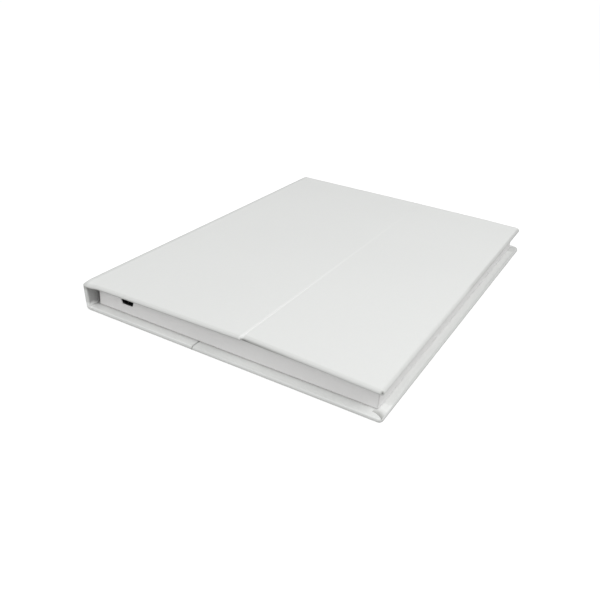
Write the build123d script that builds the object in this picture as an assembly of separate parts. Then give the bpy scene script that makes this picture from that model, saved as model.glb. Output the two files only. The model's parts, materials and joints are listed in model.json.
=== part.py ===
from build123d import *
import math
import os

# Video brochure in a hard case-bound cover, closed.
# X runs from the spine to the fore edge, Y from tail to head, Z up from the table.
# The origin is under the middle of the closed cover. All sizes are in millimetres.

# ---- Cover materials ----
board_thickness = 1.5
spine_board_thickness = 2.0
wrap_thickness = 0.3
lining_thickness = 0.2

# ---- Cover edges and folds ----
overhang_at_ends = 5.5
overhang_at_fore_edge = 3.2
hollow_behind_spine = 2.0
corner_radius = 2.6
edge_bevel = 0.8
board_edge_chamfer = 0.6
turn_in_width = 6.0
spine_fold_radius = 0.8
spine_joint_gap = 0.3
crease_gap = 0.8
crease_bead_height = 0.25
back_leg_width = 93.0
front_flap_width = 68.0

# ---- Block shell ----
side_wall_thickness = 4.0
base_card_thickness = 0.8
face_card_thickness = 1.2
block_corner_radius = 0.7
block_rim_chamfer = 0.2
block_turn_in = 8.0
block_tape_thickness = 0.3
block_tape_inset = 4.0
cover_rest_gap = 0.2
paper_fit = 0.1

# ---- Screen ----
lcd_width = 100.0
lcd_length = 165.0
lcd_tray_wall = 0.3
backlight_thickness = 2.5
lcd_glass_thickness = 0.9
lens_thickness = 0.5
lens_air_gap = 0.2
window_border = 6.0
lens_overlap = 2.0
lcd_fit = 0.15
lcd_pad_size = 12.0

# ---- Room round the screen ----
end_bay_length = 17.7
fore_bay_width = 8.0
wiring_gap = 3.0
board_edge_clearance = 0.7

# ---- Battery ----
battery_thickness = 3.2
battery_width = 60.0
battery_length = 90.0
battery_swell_gap = 0.4
battery_corner_radius = 2.0

# ---- Driver board and charging socket ----
driver_board_width = 30.0
board_to_board_gap = 6.0
driver_board_offset = 0.5
driver_board_thickness = 1.2
board_riser_height = 2.7
board_riser_width = 8.0
board_tongue_width = 20.0
board_tongue_setback = 1.0
notch_clearance = 1.0
socket_top_width = 7.3
socket_bottom_width = 5.8
socket_height = 2.4
socket_depth = 5.5
socket_wall = 0.25
socket_setback = 0.4
socket_fit = 0.15
socket_tongue_width = 3.6
socket_tongue_thickness = 0.7
socket_tongue_length = 3.2
chip_size = 10.0
chip_thickness = 1.0
connector_length = 5.0
connector_width = 4.0
connector_height = 2.0
ribbon_thickness = 0.15
ribbon_width = 8.0
screen_ribbon_width = 20.0
ribbon_lap = 4.0
lead_diameter = 1.0
lead_spacing = 1.4
battery_lead_inset = 4.0

# ---- Buttons ----
button_names = ("volume_up", "next", "play", "previous", "volume_down")
button_pitch = 18.0
button_diameter = 7.0
button_hole_clearance = 0.3
button_flange_width = 1.0
button_flange_gap = 0.1
button_recess = 0.1
button_travel = 0.4
button_stop_gap = 0.05
button_edge_bevel = 0.35
button_board_width = 12.0
button_board_end = 10.0
switch_size = 6.0
switch_height = 1.5
switch_edge_bevel = 0.4

# ---- Loudspeaker ----
speaker_diameter = 28.0
speaker_depth = 4.5
speaker_flange_thickness = 0.8
speaker_basket_diameter = 24.0
speaker_basket_wall = 0.5
speaker_magnet_diameter = 15.0
speaker_magnet_thickness = 2.0
speaker_cone_thickness = 0.3
speaker_cone_gap = 0.4
speaker_opening_diameter = 22.0
speaker_from_screen_end = 4.5
sound_hole_diameter = 2.4
sound_hole_pitch = 5.0
sound_hole_rings = 1

# ---- Closing magnets ----
magnet_width = 5.0
magnet_length = 15.0
magnet_thickness = 1.2
magnet_fit = 0.1
magnet_from_fore_edge = 11.0
magnet_spacing = 120.0
catch_plate_thickness = 0.8
trigger_magnet_diameter = 6.0

# ---- Worked out: stacks through the thickness ----
cover_panel = wrap_thickness + board_thickness + lining_thickness
spine_panel = wrap_thickness + spine_board_thickness + lining_thickness
block_base_z = cover_panel + block_tape_thickness
base_card_z = block_base_z + lining_thickness
bay_floor_z = base_card_z + base_card_thickness
lcd_z = bay_floor_z + battery_thickness + battery_swell_gap
backlight_z = lcd_z + lcd_tray_wall
glass_z = backlight_z + backlight_thickness
glass_top_z = glass_z + lcd_glass_thickness
lens_z = glass_top_z + lens_air_gap
face_card_z = lens_z + lens_thickness
face_paper_z = face_card_z + face_card_thickness
block_top_z = face_paper_z + wrap_thickness
front_cover_z = block_top_z + cover_rest_gap
closed_thickness = front_cover_z + cover_panel
board_z = bay_floor_z + board_riser_height
board_top_z = board_z + driver_board_thickness

# ---- Worked out: plan ----
block_skin = wrap_thickness + side_wall_thickness
bay_width = board_edge_clearance + driver_board_width + wiring_gap + lcd_width + fore_bay_width
block_width = bay_width + 2 * block_skin
block_length = lcd_length + 2 * end_bay_length + 2 * block_skin
cover_width = spine_panel + hollow_behind_spine + block_width + overhang_at_fore_edge
cover_length = block_length + 2 * overhang_at_ends
spine_x = -cover_width / 2
fore_edge_x = cover_width / 2
panel_start_x = spine_x + spine_panel + spine_joint_gap
back_crease_x = fore_edge_x - back_leg_width
front_crease_x = fore_edge_x - front_flap_width
block_x0 = spine_x + spine_panel + hollow_behind_spine
block_x1 = block_x0 + block_width
bay_x0 = block_x0 + block_skin
bay_x1 = block_x1 - block_skin
bay_y1 = block_length / 2 - block_skin
board_x0 = bay_x0 + board_edge_clearance
board_x1 = board_x0 + driver_board_width
board_mid_x = (board_x0 + board_x1) / 2
lcd_x0 = board_x1 + wiring_gap
lcd_x1 = lcd_x0 + lcd_width
lcd_mid_x = (lcd_x0 + lcd_x1) / 2
lcd_y1 = lcd_length / 2
socket_x = board_mid_x - 2.0
socket_mouth_y = -block_length / 2 + socket_setback
board_y0 = -bay_y1 + driver_board_offset
tongue_y0 = socket_mouth_y + board_tongue_setback
switch_top_z = board_top_z + switch_height
button_y1 = button_pitch * (len(button_names) - 1) / 2
button_board_y1 = button_y1 + button_board_end
board_y1 = -button_board_y1 - board_to_board_gap
battery_lead_y = board_y1 - connector_length
speaker_y = lcd_y1 - speaker_from_screen_end
speaker_z = face_card_z - speaker_depth
magnet_x = fore_edge_x - magnet_from_fore_edge


def block_between(x0, x1, y0, y1, z0, z1):
    """A rectangular solid from its lowest and highest corners."""
    middle = ((x0 + x1) / 2, (y0 + y1) / 2, (z0 + z1) / 2)
    return Pos(*middle) * Box(x1 - x0, y1 - y0, z1 - z0)


def upright_face(edges):
    """A face in the XZ plane from edges drawn as (across, up)."""
    return make_face([Plane.XZ * edge for edge in edges])


def disc(x, y, z, diameter, height):
    """An upright cylinder standing on z."""
    return Pos(x, y, z + height / 2) * Cylinder(diameter / 2, height)


# ---- Cover panels ----


def panel_blank(x0, x1, z0, z1, inset, free_side):
    """A panel with rounded corners on its free side in X, if it has one, and bevelled free edges.
    Drawn in by inset it is a board."""
    low = x0 + inset if free_side < 0 else x0
    high = x1 - inset if free_side > 0 else x1
    half = cover_length / 2 - inset
    blank = block_between(low, high, -half, half, z0, z1)
    if free_side:
        side = high if free_side > 0 else low
        corners = [e for e in blank.edges().filter_by(Axis.Z) if abs(e.center().X - side) < 0.01]
        blank = fillet(corners, corner_radius - inset)
    seams = [low, high]
    if free_side:
        seams = [low if free_side > 0 else high]
    rims = [
        e
        for e in blank.edges()
        if abs(e.bounding_box().size.Z) < 0.001
        and all(abs(e.center().X - seam) > 0.01 for seam in seams)
    ]
    return chamfer(rims, board_edge_chamfer if inset else edge_bevel)


def panel_wrap(x0, x1, outer_z, direction, free_side):
    """Wrap paper on one panel: its outer face, its edges and the turn-ins on the inner face."""
    inner_z = outer_z + direction * cover_panel
    low, high = sorted((outer_z, inner_z))
    shell = panel_blank(x0, x1, low, high, 0, free_side)
    return shell - board_space(x0, x1, outer_z, direction, free_side) - lining(
        x0, x1, outer_z, direction, free_side
    )


def board_space(x0, x1, outer_z, direction, free_side):
    """The greyboard inside one panel."""
    near = outer_z + direction * wrap_thickness
    far = near + direction * board_thickness
    low, high = sorted((near, far))
    return panel_blank(x0, x1, low, high, wrap_thickness, free_side)


def lining(x0, x1, outer_z, direction, free_side):
    """Lining paper, level with the turn-ins that it meets."""
    far = outer_z + direction * cover_panel
    near = far - direction * lining_thickness
    low, high = sorted((near, far))
    left = x0 + turn_in_width if free_side < 0 else x0
    right = x1 - turn_in_width if free_side > 0 else x1
    half = cover_length / 2 - turn_in_width
    return block_between(left, right, -half, half, low, high)


def magnet_pocket(y, inner_z, direction, clearance):
    """A bar magnet let into a board from its inner face, or with clearance, its pocket."""
    far = inner_z - direction * magnet_thickness
    low, high = sorted((inner_z, far))
    half_width = magnet_width / 2 + clearance
    half_length = magnet_length / 2 + clearance
    return block_between(
        magnet_x - half_width, magnet_x + half_width, y - half_length, y + half_length, low, high
    )


def magnet_pair(outer_z, direction, clearance):
    """The two bar magnets of a panel near its fore edge."""
    inner_z = outer_z + direction * (wrap_thickness + board_thickness)
    return [
        magnet_pocket(end * magnet_spacing / 2, inner_z, direction, clearance) for end in (-1, 1)
    ]


def trigger_magnet(clearance):
    """The disc magnet in the front panel that tells the board when the cover opens."""
    low = front_cover_z + lining_thickness
    return disc(
        board_mid_x,
        board_y1 - trigger_magnet_diameter,
        low,
        trigger_magnet_diameter + 2 * clearance,
        magnet_thickness,
    )


def cover_panels():
    """Board, wrap and lining of the four flat panels, with their magnets."""
    half_gap = crease_gap / 2
    panels = {
        "back_panel": (panel_start_x, back_crease_x - half_gap, 0, 1, 0),
        "back_leg": (back_crease_x + half_gap, fore_edge_x, 0, 1, 1),
        "front_panel": (panel_start_x, front_crease_x - half_gap, closed_thickness, -1, 0),
        "front_flap": (front_crease_x + half_gap, fore_edge_x, closed_thickness, -1, 1),
    }
    made = {}
    for name, place in panels.items():
        made[name + "_board"] = board_space(*place)
        made[name + "_wrap"] = panel_wrap(*place)
        made[name + "_lining"] = lining(*place)
    for pocket in magnet_pair(0, 1, magnet_fit):
        made["back_leg_board"] -= pocket
    for pocket in magnet_pair(closed_thickness, -1, magnet_fit):
        made["front_flap_board"] -= pocket
    made["front_panel_board"] -= trigger_magnet(magnet_fit)
    made["leg_magnets"] = Compound(magnet_pair(0, 1, 0))
    made["flap_magnets"] = Compound(magnet_pair(closed_thickness, -1, 0))
    made["trigger_magnet"] = trigger_magnet(0)
    return made


# ---- Spine and folds ----


def spine_blank(x0, x1, z0, z1, inset):
    """The upright spine panel with bevelled head and tail edges. Drawn in by inset it is a board."""
    half = cover_length / 2 - inset
    blank = block_between(x0, x1, -half, half, z0, z1)
    ends = blank.edges().filter_by(Axis.Z)
    return chamfer(ends, board_edge_chamfer if inset else edge_bevel)


def spine_lining():
    """Lining paper on the inner face of the spine."""
    inner = spine_x + spine_panel
    half = cover_length / 2 - turn_in_width
    low = wrap_thickness + lining_thickness
    high = closed_thickness - low
    return block_between(inner - lining_thickness, inner, -half, half, low, high)


def spine_board():
    """The spine's greyboard, its two long outer edges bevelled inside the folds."""
    x0 = spine_x + wrap_thickness
    x1 = x0 + spine_board_thickness
    low = wrap_thickness
    high = closed_thickness - wrap_thickness
    board = spine_blank(x0, x1, low, high, wrap_thickness)
    outer = [
        e
        for e in board.edges().filter_by(Axis.Y)
        if e.center().X < (x0 + x1) / 2
    ]
    return chamfer(outer, spine_fold_radius - wrap_thickness + lining_thickness)


def spine_wrap():
    """Wrap paper on the spine between the two folds, turned in at head and tail."""
    low = spine_fold_radius
    high = closed_thickness - spine_fold_radius
    inner = spine_x + spine_panel
    shell = spine_blank(spine_x, inner, low, high, 0)
    return shell - spine_blank(
        spine_x + wrap_thickness, inner - lining_thickness, 0, closed_thickness, wrap_thickness
    ) - spine_lining()


def spine_fold(outer_z, direction):
    """The strip of wrap paper that bridges the joint and turns up round the spine's long edge."""
    radius = spine_fold_radius
    centre_x = spine_x + radius
    centre_z = outer_z + direction * radius
    inner = radius - wrap_thickness
    diagonal = math.sqrt(0.5)
    outline = upright_face(
        [
            Line((panel_start_x, outer_z), (centre_x, outer_z)),
            ThreePointArc(
                (centre_x, outer_z),
                (centre_x - radius * diagonal, centre_z - direction * radius * diagonal),
                (spine_x, centre_z),
            ),
            Line((spine_x, centre_z), (spine_x + wrap_thickness, centre_z)),
            ThreePointArc(
                (spine_x + wrap_thickness, centre_z),
                (centre_x - inner * diagonal, centre_z - direction * inner * diagonal),
                (centre_x, centre_z - direction * inner),
            ),
            Line(
                (centre_x, centre_z - direction * inner),
                (panel_start_x, centre_z - direction * inner),
            ),
            Line((panel_start_x, centre_z - direction * inner), (panel_start_x, outer_z)),
        ]
    )
    return extrude(outline, cover_length / 2 - paper_fit, both=True)


def back_crease_fold():
    """The strip of wrap paper between the back panel and the leg."""
    half = crease_gap / 2
    y1 = cover_length / 2 - paper_fit
    return block_between(back_crease_x - half, back_crease_x + half, -y1, y1, 0, wrap_thickness)


def front_crease_fold():
    """The strip of wrap paper between the front panel and the flap, pressed up into a low bead."""
    half = crease_gap / 2
    low = closed_thickness - wrap_thickness
    top = closed_thickness + crease_bead_height
    outline = upright_face(
        [
            Line((front_crease_x - half, low), (front_crease_x + half, low)),
            Line((front_crease_x + half, low), (front_crease_x + half, closed_thickness)),
            ThreePointArc(
                (front_crease_x + half, closed_thickness),
                (front_crease_x, top),
                (front_crease_x - half, closed_thickness),
            ),
            Line((front_crease_x - half, closed_thickness), (front_crease_x - half, low)),
        ]
    )
    return extrude(outline, cover_length / 2 - paper_fit, both=True)


# ---- Block shell ----


def screen_window(z0, z1, clearance):
    """The space of the screen window, from z0 to z1."""
    return block_between(
        lcd_x0 + window_border - clearance,
        lcd_x1 - window_border + clearance,
        -lcd_y1 + window_border - clearance,
        lcd_y1 - window_border + clearance,
        z0,
        z1,
    )


def button_holes(z0, z1):
    """The round holes that the button caps come through."""
    bore = button_diameter + 2 * button_hole_clearance
    return [disc(board_mid_x, y, z0, bore, z1 - z0) for y in button_places()]


def button_places():
    """Where the buttons stand along the button board."""
    return [index * button_pitch - button_y1 for index in range(len(button_names))]


def sound_holes(z0, z1):
    """Sound holes in rings of six, twelve and so on round a middle one."""
    places = [(0.0, 0.0)]
    for ring in range(1, sound_hole_rings + 1):
        for step in range(6 * ring):
            angle = 2 * math.pi * step / (6 * ring)
            reach = ring * sound_hole_pitch
            places.append((reach * math.cos(angle), reach * math.sin(angle)))
    return [
        disc(board_mid_x + dx, speaker_y + dy, z0, sound_hole_diameter, z1 - z0)
        for dx, dy in places
    ]


def socket_outline(growth):
    """The socket's cross-section, wide side up, grown on every side."""
    low = board_top_z - growth
    high = board_top_z + socket_height + growth
    top = socket_top_width / 2 + growth
    bottom = socket_bottom_width / 2 + growth
    return make_face(
        Plane.XZ
        * Polyline(
            (socket_x - bottom, low),
            (socket_x + bottom, low),
            (socket_x + top, high - socket_height / 3),
            (socket_x + top, high),
            (socket_x - top, high),
            (socket_x - top, high - socket_height / 3),
            close=True,
        )
    )


def socket_prism(growth, y0, y1):
    """The socket's cross-section drawn out along Y."""
    return Pos(0, y1, 0) * extrude(socket_outline(growth), y1 - y0)


def block_wrap():
    """Wrap paper on the block: its face and sides, turned under the base card."""
    x0, x1 = block_x0, block_x1
    y1 = block_length / 2
    outer = block_between(x0, x1, -y1, y1, block_base_z, block_top_z)
    outer = fillet(outer.edges().filter_by(Axis.Z), block_corner_radius)
    outer = chamfer(outer.faces().sort_by(Axis.Z)[-1].edges(), block_rim_chamfer)
    skin = wrap_thickness
    room = block_between(
        x0 + skin, x1 - skin, -y1 + skin, y1 - skin, base_card_z, face_paper_z
    )
    lip = skin + block_turn_in
    under = block_between(
        x0 + lip, x1 - lip, -y1 + lip, y1 - lip, block_base_z, base_card_z
    )
    paper = outer - room - under
    paper -= screen_window(face_paper_z, block_top_z, 0)
    for hole in button_holes(face_paper_z, block_top_z) + sound_holes(face_paper_z, block_top_z):
        paper -= hole
    return paper - socket_prism(socket_fit, -y1, -y1 + skin)


def face_card():
    """The card under the face paper, open at the screen, the buttons and the speaker."""
    skin = wrap_thickness
    y1 = block_length / 2 - skin
    card = block_between(
        block_x0 + skin, block_x1 - skin, -y1, y1, face_card_z, face_paper_z
    )
    card -= screen_window(face_card_z, face_paper_z, 0)
    for hole in button_holes(face_card_z, face_paper_z):
        card -= hole
    return card - disc(
        board_mid_x, speaker_y, face_card_z, speaker_opening_diameter, face_card_thickness
    )


def base_card():
    """The card that closes the block underneath."""
    skin = wrap_thickness
    y1 = block_length / 2 - skin
    return block_between(
        block_x0 + skin, block_x1 - skin, -y1, y1, base_card_z, bay_floor_z
    )


def tail_wall():
    """The end wall with a notch for the driver board's tongue and its socket."""
    y0 = -block_length / 2 + wrap_thickness
    wall = block_between(bay_x0, bay_x1, y0, -bay_y1, bay_floor_z, face_card_z)
    reach = board_tongue_width / 2 + notch_clearance
    return wall - block_between(
        socket_x - reach,
        socket_x + reach,
        y0,
        -bay_y1,
        board_z - notch_clearance / 3,
        face_card_z,
    )


def side_walls():
    """The card strips that stand between the base card and the face card."""
    y1 = block_length / 2 - wrap_thickness
    skin = wrap_thickness
    return {
        "spine_side_wall": block_between(
            block_x0 + skin, bay_x0, -y1, y1, bay_floor_z, face_card_z
        ),
        "fore_edge_wall": block_between(
            bay_x1, block_x1 - skin, -y1, y1, bay_floor_z, face_card_z
        ),
        "head_wall": block_between(bay_x0, bay_x1, bay_y1, y1, bay_floor_z, face_card_z),
        "tail_wall": tail_wall(),
    }


def block_tape():
    """Double-sided tape between the back panel and the block."""
    x0 = block_x0 + block_tape_inset
    x1 = back_crease_x - block_tape_inset
    y1 = block_length / 2 - block_tape_inset
    return block_between(x0, x1, -y1, y1, cover_panel, block_base_z)


def catch_plates(z0):
    """The steel plates that the bar magnets pull on."""
    return Compound(
        [
            block_between(
                magnet_x - magnet_width / 2,
                magnet_x + magnet_width / 2,
                end * magnet_spacing / 2 - magnet_length / 2,
                end * magnet_spacing / 2 + magnet_length / 2,
                z0,
                z0 + catch_plate_thickness,
            )
            for end in (-1, 1)
        ]
    )


# ---- Screen ----


def lcd_tray():
    """The folded steel tray that holds the light guide and the glass."""
    outer = block_between(lcd_x0, lcd_x1, -lcd_y1, lcd_y1, lcd_z, glass_top_z)
    wall = lcd_tray_wall
    return outer - block_between(
        lcd_x0 + wall, lcd_x1 - wall, -lcd_y1 + wall, lcd_y1 - wall, backlight_z, glass_top_z
    )


def lcd_layer(z0, z1):
    """A sheet that lies inside the tray's walls."""
    wall = lcd_tray_wall + lcd_fit
    return block_between(
        lcd_x0 + wall, lcd_x1 - wall, -lcd_y1 + wall, lcd_y1 - wall, z0, z1
    )


def screen_lens():
    """The clear sheet glued behind the window."""
    return screen_window(lens_z, face_card_z, lens_overlap)


def lcd_pads():
    """Foam pads that carry the tray's corners."""
    size = lcd_pad_size
    return Compound(
        [
            block_between(x, x + size, y, y + size, bay_floor_z, lcd_z)
            for x in (lcd_x0, lcd_x1 - size)
            for y in (-lcd_y1, lcd_y1 - size)
        ]
    )


def battery_cell():
    """The flat pouch cell on the base card, under the screen, its leads level with their socket."""
    x0 = lcd_mid_x - battery_width / 2
    y0 = battery_lead_y - battery_lead_inset
    top = bay_floor_z + battery_thickness
    cell = block_between(x0, x0 + battery_width, y0, y0 + battery_length, bay_floor_z, top)
    return fillet(cell.edges().filter_by(Axis.Z), battery_corner_radius)


# ---- Driver board ----


def driver_board():
    """The board with the tongue that carries the socket through the tail wall."""
    body = block_between(board_x0, board_x1, board_y0, board_y1, board_z, board_top_z)
    half = board_tongue_width / 2
    tongue = block_between(
        socket_x - half, socket_x + half, tongue_y0, board_y0, board_z, board_top_z
    )
    return body + tongue


def board_risers():
    """Card strips that lift the driver board and the button board to the socket's height."""
    x0 = board_mid_x - board_riser_width / 2
    x1 = x0 + board_riser_width
    return Compound(
        [
            block_between(x0, x1, board_y0, board_y1, bay_floor_z, board_z),
            block_between(x0, x1, -button_board_y1, button_board_y1, bay_floor_z, board_z),
        ]
    )


def board_chips():
    """Player chip, memory chip, sound amplifier and the magnet sensor."""
    y0 = board_y0 + chip_size
    top = board_top_z
    return Compound(
        [
            block_between(
                board_x1 - 1.6 * chip_size,
                board_x1 - 0.6 * chip_size,
                y0 + 1.2 * chip_size,
                y0 + 2.2 * chip_size,
                top,
                top + chip_thickness,
            ),
            block_between(
                board_x0 + 0.3 * chip_size,
                board_x0 + 1.2 * chip_size,
                y0 + chip_size,
                y0 + 1.8 * chip_size,
                top,
                top + chip_thickness,
            ),
            block_between(
                board_x0 + 0.4 * chip_size,
                board_x0 + 0.8 * chip_size,
                y0 + 2.4 * chip_size,
                y0 + 2.9 * chip_size,
                top,
                top + chip_thickness,
            ),
        ]
    )


def usb_shell():
    """The pressed steel shell of the micro-USB socket, closed at its back."""
    back_y = socket_mouth_y + socket_depth
    outer = socket_prism(0, socket_mouth_y, back_y)
    return outer - socket_prism(-socket_wall, socket_mouth_y, back_y - socket_wall)


def usb_tongue():
    """The contact tongue and its root, inside the shell."""
    back_y = socket_mouth_y + socket_depth - socket_wall
    root_y = back_y - (socket_depth - socket_wall - socket_tongue_length) / 2
    root = socket_prism(-socket_wall - lcd_fit / 3, root_y, back_y)
    middle = board_top_z + socket_height * 0.6
    blade = block_between(
        socket_x - socket_tongue_width / 2,
        socket_x + socket_tongue_width / 2,
        root_y - socket_tongue_length,
        root_y,
        middle - socket_tongue_thickness / 2,
        middle + socket_tongue_thickness / 2,
    )
    return root + blade


def board_connectors():
    """The battery's socket under the driver board and the speaker's socket on top of it."""
    battery_side = block_between(
        board_x1 - connector_width,
        board_x1,
        battery_lead_y - connector_length / 2,
        battery_lead_y + connector_length / 2,
        board_z - connector_height,
        board_z,
    )
    speaker_side = block_between(
        board_x1 - 3 * connector_width,
        board_x1 - 2 * connector_width,
        board_y1 - connector_length,
        board_y1,
        board_top_z,
        board_top_z + connector_height,
    )
    return Compound([battery_side, speaker_side])


def straight_lead(start, end):
    """One round lead pulled straight between two points."""
    run = Line(start, end)
    return sweep(Plane(run @ 0, z_dir=run % 0) * Circle(lead_diameter / 2), path=run)


def battery_leads():
    """Two leads from the cell's edge to their socket under the board."""
    cell_x = lcd_mid_x - battery_width / 2
    z = board_z - connector_height / 2
    leads = []
    for side in (-1, 1):
        y = battery_lead_y + side * lead_spacing / 2
        leads.append(straight_lead((cell_x, y, z), (board_x1, y, z)))
    return Compound(leads)


def speaker_leads():
    """Two leads past the button board's edge, from the speaker's basket to their socket."""
    start_y = speaker_y - speaker_basket_diameter / 2 - 1.0
    z = board_top_z + connector_height / 2
    middle_x = board_x1 - 2.5 * connector_width
    leads = []
    for side in (-1, 1):
        x = middle_x + side * lead_spacing / 2
        leads.append(straight_lead((x, start_y, z), (x, board_y1, z)))
    return Compound(leads)


def screen_ribbon():
    """The flat ribbon from the screen's edge onto the driver board."""
    y1 = battery_lead_y - connector_length
    return block_between(
        board_x1 - ribbon_lap,
        lcd_x0,
        y1 - screen_ribbon_width,
        y1,
        board_top_z,
        board_top_z + ribbon_thickness,
    )


# ---- Buttons ----


def button_board():
    """The narrow board under the row of buttons."""
    half = button_board_width / 2
    return block_between(
        board_mid_x - half,
        board_mid_x + half,
        -button_board_y1,
        button_board_y1,
        board_z,
        board_top_z,
    )


def button_ribbon():
    """The flat ribbon that joins the button board to the driver board."""
    half = ribbon_width / 2
    return block_between(
        board_mid_x - 1.5 * half,
        board_mid_x + 0.5 * half,
        board_y1 - ribbon_lap,
        -button_board_y1 + ribbon_lap,
        board_top_z,
        board_top_z + ribbon_thickness,
    )


def switch_body(y):
    """One low push switch, its upper edges bevelled."""
    half = switch_size / 2
    body = block_between(
        board_mid_x - half, board_mid_x + half, y - half, y + half, board_top_z, switch_top_z
    )
    return chamfer(body.faces().sort_by(Axis.Z)[-1].edges(), switch_edge_bevel)


def button_cap(y):
    """A round cap with a bevelled top and a flange under the face card that keeps it in."""
    bottom = switch_top_z + button_travel + button_stop_gap
    flange_top = face_card_z - button_flange_gap
    top = block_top_z - button_recess
    radius = button_diameter / 2
    flange_radius = radius + button_flange_width
    profile = make_face(
        Plane.XZ
        * Polyline(
            (0, bottom),
            (flange_radius, bottom),
            (flange_radius, flange_top),
            (radius, flange_top),
            (radius, top - button_edge_bevel),
            (radius - button_edge_bevel, top),
            (0, top),
            close=True,
        )
    )
    return Pos(board_mid_x, y, 0) * revolve(profile, Axis.Z)


# ---- Loudspeaker ----


def speaker_frame():
    """The pressed basket, its flange against the face card."""
    flange = speaker_diameter / 2
    basket = speaker_basket_diameter / 2
    wall = speaker_basket_wall
    top = face_card_z
    under = top - speaker_flange_thickness
    floor = speaker_z + speaker_magnet_thickness
    neck = speaker_magnet_diameter / 2
    profile = make_face(
        Plane.XZ
        * Polyline(
            (neck - 2, floor),
            (neck + 1, floor),
            (basket, under),
            (flange, under),
            (flange, top),
            (basket - wall, top),
            (basket - wall, under),
            (neck + 1 - wall, floor + wall),
            (neck - 2, floor + wall),
            close=True,
        )
    )
    return Pos(board_mid_x, speaker_y, 0) * revolve(profile, Axis.Z)


def speaker_magnet():
    """The magnet and its pole piece under the basket."""
    magnet = disc(
        board_mid_x, speaker_y, speaker_z, speaker_magnet_diameter, speaker_magnet_thickness
    )
    pole = disc(
        board_mid_x,
        speaker_y,
        speaker_z + speaker_magnet_thickness,
        speaker_magnet_diameter - 4 - 2 * lcd_fit,
        speaker_basket_wall,
    )
    return magnet + pole


def speaker_cone():
    """The paper cone, hung inside the flange."""
    top = face_card_z - speaker_cone_gap
    rim = speaker_basket_diameter / 2 - speaker_basket_wall - lcd_fit
    bottom = top - speaker_cone_thickness - speaker_flange_thickness
    profile = make_face(
        Plane.XZ
        * Polyline(
            (rim, top),
            (rim, top - speaker_cone_thickness),
            (0, bottom),
            (0, bottom + speaker_cone_thickness),
            close=True,
        )
    )
    return Pos(board_mid_x, speaker_y, 0) * revolve(profile, Axis.Z)


def all_parts():
    """Every piece, by name."""
    parts = cover_panels()
    parts["spine_board"] = spine_board()
    parts["spine_wrap"] = spine_wrap()
    parts["spine_lining"] = spine_lining()
    parts["lower_spine_fold"] = spine_fold(0, 1)
    parts["upper_spine_fold"] = spine_fold(closed_thickness, -1)
    parts["back_crease_fold"] = back_crease_fold()
    parts["front_crease_fold"] = front_crease_fold()
    parts["block_tape"] = block_tape()
    parts["block_wrap"] = block_wrap()
    parts["face_card"] = face_card()
    parts["base_card"] = base_card()
    parts.update(side_walls())
    parts["flap_catch_plates"] = catch_plates(face_card_z - catch_plate_thickness)
    parts["leg_catch_plates"] = catch_plates(bay_floor_z)
    parts["lcd_tray"] = lcd_tray()
    parts["lcd_backlight"] = lcd_layer(backlight_z, glass_z)
    parts["lcd_glass"] = lcd_layer(glass_z, glass_top_z)
    parts["screen_lens"] = screen_lens()
    parts["lcd_pads"] = lcd_pads()
    parts["battery_cell"] = battery_cell()
    parts["battery_leads"] = battery_leads()
    parts["driver_board"] = driver_board()
    parts["board_risers"] = board_risers()
    parts["board_chips"] = board_chips()
    parts["board_connectors"] = board_connectors()
    parts["usb_shell"] = usb_shell()
    parts["usb_tongue"] = usb_tongue()
    parts["screen_ribbon"] = screen_ribbon()
    parts["button_board"] = button_board()
    parts["button_ribbon"] = button_ribbon()
    parts["switch_bodies"] = Compound([switch_body(y) for y in button_places()])
    for name, y in zip(button_names, button_places()):
        parts[name + "_button"] = button_cap(y)
    parts["speaker_frame"] = speaker_frame()
    parts["speaker_magnet"] = speaker_magnet()
    parts["speaker_cone"] = speaker_cone()
    parts["speaker_leads"] = speaker_leads()
    return parts


def write_parts():
    """One STEP file for each piece."""
    os.makedirs("parts", exist_ok=True)
    for name, solid in all_parts().items():
        solid.label = name
        export_step(solid, "parts/" + name + ".step")
    print("cover", cover_width, "x", cover_length, "x", round(closed_thickness, 3))


write_parts()
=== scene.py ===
import json
from functools import partial
from math import copysign, cos, exp, hypot, pi, radians, sin, sqrt, tau

import bmesh
import bpy
from mathutils import Euler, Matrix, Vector


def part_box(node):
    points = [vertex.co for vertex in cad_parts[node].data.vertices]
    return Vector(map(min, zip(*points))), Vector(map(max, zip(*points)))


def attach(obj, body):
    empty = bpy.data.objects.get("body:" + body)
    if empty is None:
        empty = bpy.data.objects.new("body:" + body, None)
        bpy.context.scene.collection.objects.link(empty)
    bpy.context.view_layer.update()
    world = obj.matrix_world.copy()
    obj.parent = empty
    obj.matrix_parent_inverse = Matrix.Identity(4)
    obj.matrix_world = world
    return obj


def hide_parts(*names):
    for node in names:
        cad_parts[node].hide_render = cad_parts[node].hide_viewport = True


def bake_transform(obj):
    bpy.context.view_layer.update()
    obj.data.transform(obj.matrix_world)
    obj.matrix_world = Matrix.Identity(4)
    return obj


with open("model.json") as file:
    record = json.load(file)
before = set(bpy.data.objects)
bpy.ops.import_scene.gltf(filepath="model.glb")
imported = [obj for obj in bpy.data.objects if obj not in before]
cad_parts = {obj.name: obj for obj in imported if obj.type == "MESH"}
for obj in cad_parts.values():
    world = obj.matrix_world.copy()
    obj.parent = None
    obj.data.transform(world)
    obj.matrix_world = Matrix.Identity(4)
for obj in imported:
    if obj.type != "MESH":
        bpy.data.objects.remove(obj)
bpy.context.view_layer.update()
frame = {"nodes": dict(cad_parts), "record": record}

# ---- Sizes of the case, in metres ----

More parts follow.
